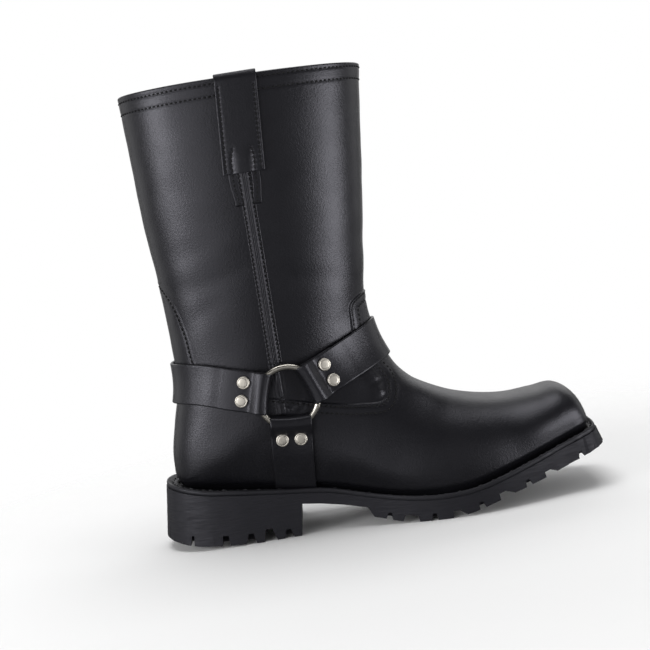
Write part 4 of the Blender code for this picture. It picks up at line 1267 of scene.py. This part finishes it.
# %% The way a pull strap lies
PULL_WIDTH = 28.0
PULL_THICKNESS = 2.0
PULL_TOP = (-57.0, 312.0)
PULL_LOW = (-61.0, 251.0)
PULL_SEAT = 1.0
PULL_PLAY = 0.4
PULL_ROW = 11.6
PULL_ROW_Z = (252.0, 309.0)
PULL_COLUMNS = 45
COLLAR_Z = (LAST[-1].top_z + LAST[-1].base_z) / 2
BELOW_RIM = 2.0
ARCH_HEIGHT = 1.3
ARCH_WIDTH = 6.0
ARCH_Z = (259.0, 272.0)
BOWED_Z = (252.0, 268.0)
BOWED_OFF = (7.2, 5.8)
BOWED_SWELL = 1.0
outside_tree = form_tree(PULL_SEAT)
inside_tree = form_tree(-WALL - PULL_PLAY)
pull_edge = PULL_WIDTH / 2 - CUT_EDGE
pull_v = np.linspace(-pull_edge, pull_edge, PULL_COLUMNS)


def pull_middle(z):
    """Where the strap's middle stands at a height, since it leans a little."""
    return np.interp(z, (PULL_LOW[1], PULL_TOP[1]), (PULL_LOW[0], PULL_TOP[0]))


def bowed_off(z):
    """How far the bowed rows stand from the strap's middle."""
    share = (z - BOWED_Z[0]) / (BOWED_Z[1] - BOWED_Z[0])
    return np.interp(z, BOWED_Z, BOWED_OFF) + BOWED_SWELL * math.sin(math.pi * np.clip(share, 0, 1))


def arch_lift(v, z):
    """How far the strap's lower end arches over the seam."""
    return ARCH_HEIGHT * (1 - ramp(z, *ARCH_Z)) * math.exp(-((v / ARCH_WIDTH) ** 4))


def drawn_down(v, z):
    """How far the stitches draw the strap's face down."""
    sunk = pucker(abs(v) - PULL_ROW, z - PULL_ROW_Z[0]) * (PULL_ROW_Z[0] < z < PULL_ROW_Z[1])
    return sunk + pucker(abs(v) - bowed_off(z), z - BOWED_Z[0]) * (z < BOWED_Z[1])


def pull_section(side, z, crossed, turn):
    """Face and back of the strap at a height, after crossing the collar by a share and turning over."""
    face, back = [], []
    level_z = min(z, COLLAR_Z - BELOW_RIM)
    on_outside = crossed == 0
    for v in pull_v:
        x = pull_middle(z) + v
        outer, normal = side_hit(outside_tree, side, x, level_z)
        inner, _ = side_hit(inside_tree, side, x, level_z)
        point = outer + crossed * (inner - outer)
        point[2] = z
        point = point + on_outside * arch_lift(v, z) * normal
        out = math.cos(turn) * normal + math.sin(turn) * UPRIGHT
        back.append(point)
        face.append(point + (PULL_THICKNESS - on_outside * drawn_down(v, z)) * out)
    return face, back


# %% [markdown]
# Now the straps are made, with a row of stitches along each edge and two bowed rows round the arch. A
# reinforcing tail shows on each side of the seam below, with one row of its own.

# %% Pull straps
PULL_STEPS = 140
PULL_INSIDE_Z = 284.0
PULL_INSIDE_STEPS = 16
OVER_RIM = 1.2
PULL_ROW_STEPS = 60
PULL_THREAD = 1.9
BOWED_STEPS = 18
BOWED_THREAD = 1.8
TAIL_Z = (229.5, 253.0)
TAIL_STEPS = 20
TAIL_MIDDLE = 7.6
TAIL_TAPER = 1.6
TAIL_TAPER_Z = 246.0
TAIL_HALF = 2.4
TAIL_ROUND = 0.5
TAIL_THICKNESS = 0.9
TAIL_THREAD = 1.0
tail_v = np.array([-TAIL_HALF, TAIL_ROUND - TAIL_HALF, 0.0, TAIL_HALF - TAIL_ROUND, TAIL_HALF])


def pull_tail(ring, hand):
    """Makes the tail on one hand of the seam and gives its row of stitches."""
    face, back, places = [], [], []
    for z in np.linspace(*TAIL_Z, TAIL_STEPS):
        x = SEAM_MIDDLE + hand * (TAIL_MIDDLE - TAIL_TAPER * ramp(z, TAIL_TAPER_Z, TAIL_Z[0]))
        feet = [side_hit(bare_tree, ring.side, x + v, z) for v in tail_v]
        face.append(lifted(feet, TAIL_THICKNESS)[0])
        back.append(lifted(feet, 0.0)[0])
        places.append((x, z))
    name = f"pull_strap_tail_{ring.name}_{'back' if hand < 0 else 'front'}"
    strip_piece(name, strip_loops(face, back), [strap_hide])
    return side_row(bare_tree, ring.side, places, TAIL_THREAD)


for ring in rings:
    path = [(z, 0.0, 0.0) for z in np.linspace(PULL_LOW[1], COLLAR_Z - BELOW_RIM, PULL_STEPS)]
    for share in np.linspace(0, 1, RIM_STEPS + 1):
        path.append((COLLAR_Z + OVER_RIM, share, math.pi * (1 + 2 * share) / 4))
    path += [(z, 1.0, math.pi) for z in np.linspace(COLLAR_Z - BELOW_RIM, PULL_INSIDE_Z, PULL_INSIDE_STEPS)]
    sections = np.array([pull_section(ring.side, *place) for place in path])
    loops = strip_loops(sections[:, 0], sections[:, 1])
    name = f"pull_strap_{ring.name}"
    strip_piece("finger_" + name, loops, [strap_hide], [name])
    rows = []
    for hand in (-1, 1):
        places = [(pull_middle(z) + hand * PULL_ROW, z) for z in np.linspace(*PULL_ROW_Z, PULL_ROW_STEPS)]
        rows.append(side_row(outside_tree, ring.side, places, PULL_THREAD))
        bowed = np.linspace(*BOWED_Z, BOWED_STEPS)
        places = [(pull_middle(z) + hand * bowed_off(z), z) for z in bowed]
        line, normals = side_row(outside_tree, ring.side, places, BOWED_THREAD)
        line = [point + arch_lift(bowed_off(z), z) * normal for point, normal, z in zip(line, normals, bowed)]
        rows.append((line, normals))
        rows.append(pull_tail(ring, hand))
    stitches(f"pull_stitches_{ring.name}", rows, SEAM_STITCH)

# %% [markdown]
# The studio is plain: white paper under the boot, and soft lamps that the camera doesn't see. A wide
# lamp behind and above lines the top of the foot, and one overhead lights the paper. A lamp low on the
# right draws the long highlight down the front of the shaft. A wide lamp and a small key on the left draw
# the one down its back. Between them the leather mirrors the dark room behind the camera, which has only a
# weak fill. Two weak lamps further back and a fill on the inner side show the boot from behind. The paper
# fades out with distance, so no horizon shows, and the boot doesn't mirror it.

# %% Floor
FLOOR_RADIUS = 3.0
FLOOR_SIDES = 96
FLOOR_GAP = 0.0003
FADE = (0.2, 0.5)
disc = bmesh.new()
bmesh.ops.create_circle(disc, cap_ends=True, radius=FLOOR_RADIUS, segments=FLOOR_SIDES)
floor_mesh = bpy.data.meshes.new("studio_floor")
disc.to_mesh(floor_mesh)
disc.free()
floor = add_object("studio_floor", floor_mesh)
floor.location = (0, 0, -FLOOR_GAP)
floor.visible_glossy = False
paper = finish("white_paper_sweep", "#fafafa", 0.9)
far_off = node(paper.tree, "ShaderNodeVectorMath", {"operation": "LENGTH"}, {0: paper.place})
fade_out = {"interpolation_type": "SMOOTHSTEP", "From Min": FADE[0], "From Max": FADE[1]}
fade = node(paper.tree, "ShaderNodeMapRange", fade_out, {"Value": far_off.outputs["Value"]})
clear = node(paper.tree, "ShaderNodeBsdfTransparent")
mixed = node(
    paper.tree,
    "ShaderNodeMixShader",
    links={0: fade.outputs["Result"], 1: paper.shader.outputs["BSDF"], 2: clear.outputs["BSDF"]},
)
paper.tree.links.new(mixed.outputs["Shader"], paper.tree.nodes["Material Output"].inputs["Surface"])
floor_mesh.materials.append(paper.material)
print("floor:", floor.name, "of", paper.material.name)

# %% Lamps and background
ROOM_LIGHT = 0.1
WHITE = linear("#ffffff")
Lamp = namedtuple("Lamp", "name at aim width height watts")
LAMPS = [
    Lamp("back_softbox", (0.0, 1.5, 1.1), (0.0, 0.0, 0.1), 3.0, 0.9, 11.0),
    Lamp("overhead", (0.0, 0.1, 2.0), (0.0, 0.0, 0.0), 1.6, 1.2, 24.0),
    Lamp("right_side", (1.24, -0.7, 0.0), (0.0, 0.0, 0.2), 0.7, 0.85, 15.5),
    Lamp("left_wide", (-1.05, -0.95, 0.25), (0.0, 0.0, 0.2), 1.6, 1.2, 11.0),
    Lamp("left_key", (-1.25, -0.68, 0.34), (0.0, 0.0, 0.1), 0.45, 0.5, 6.2),
    Lamp("front_fill", (0.0, -1.8, 0.2), (0.0, 0.0, 0.1), 2.0, 1.6, 2.2),
    Lamp("right_back", (1.35, 0.6, 0.35), (0.0, 0.0, 0.2), 1.0, 1.0, 2.5),
    Lamp("left_back", (-1.35, 0.6, 0.35), (0.0, 0.0, 0.2), 1.0, 1.0, 2.5),
    Lamp("inner_fill", (0.0, 1.7, 0.35), (0.0, 0.0, 0.15), 2.2, 1.2, 5.0),
]
for lamp in LAMPS:
    light = bpy.data.lights.new(lamp.name, "AREA")
    light.shape = "RECTANGLE"
    light.size, light.size_y = lamp.width, lamp.height
    light.energy = lamp.watts
    made = add_object(lamp.name, light)
    made.location = lamp.at
    made.rotation_euler = (Vector(lamp.aim) - Vector(lamp.at)).to_track_quat("-Z", "Y").to_euler()
    made.visible_camera = False

world = bpy.data.worlds.new("studio_room")
world.use_nodes = True
bpy.context.scene.world = world
room = world.node_tree
dim = room.nodes["Background"]
dim.inputs["Color"].default_value = WHITE
dim.inputs["Strength"].default_value = ROOM_LIGHT
plain = node(room, "ShaderNodeBackground", {"Color": WHITE, "Strength": 1.0})
seen = node(room, "ShaderNodeLightPath").outputs["Is Camera Ray"]
backdrop = node(
    room,
    "ShaderNodeMixShader",
    links={0: seen, 1: dim.outputs["Background"], 2: plain.outputs["Background"]},
)
room.links.new(backdrop.outputs["Shader"], room.nodes["World Output"].inputs["Surface"])
bpy.context.scene.view_settings.view_transform = "Standard"
print("lamps:", [lamp.name for lamp in LAMPS])
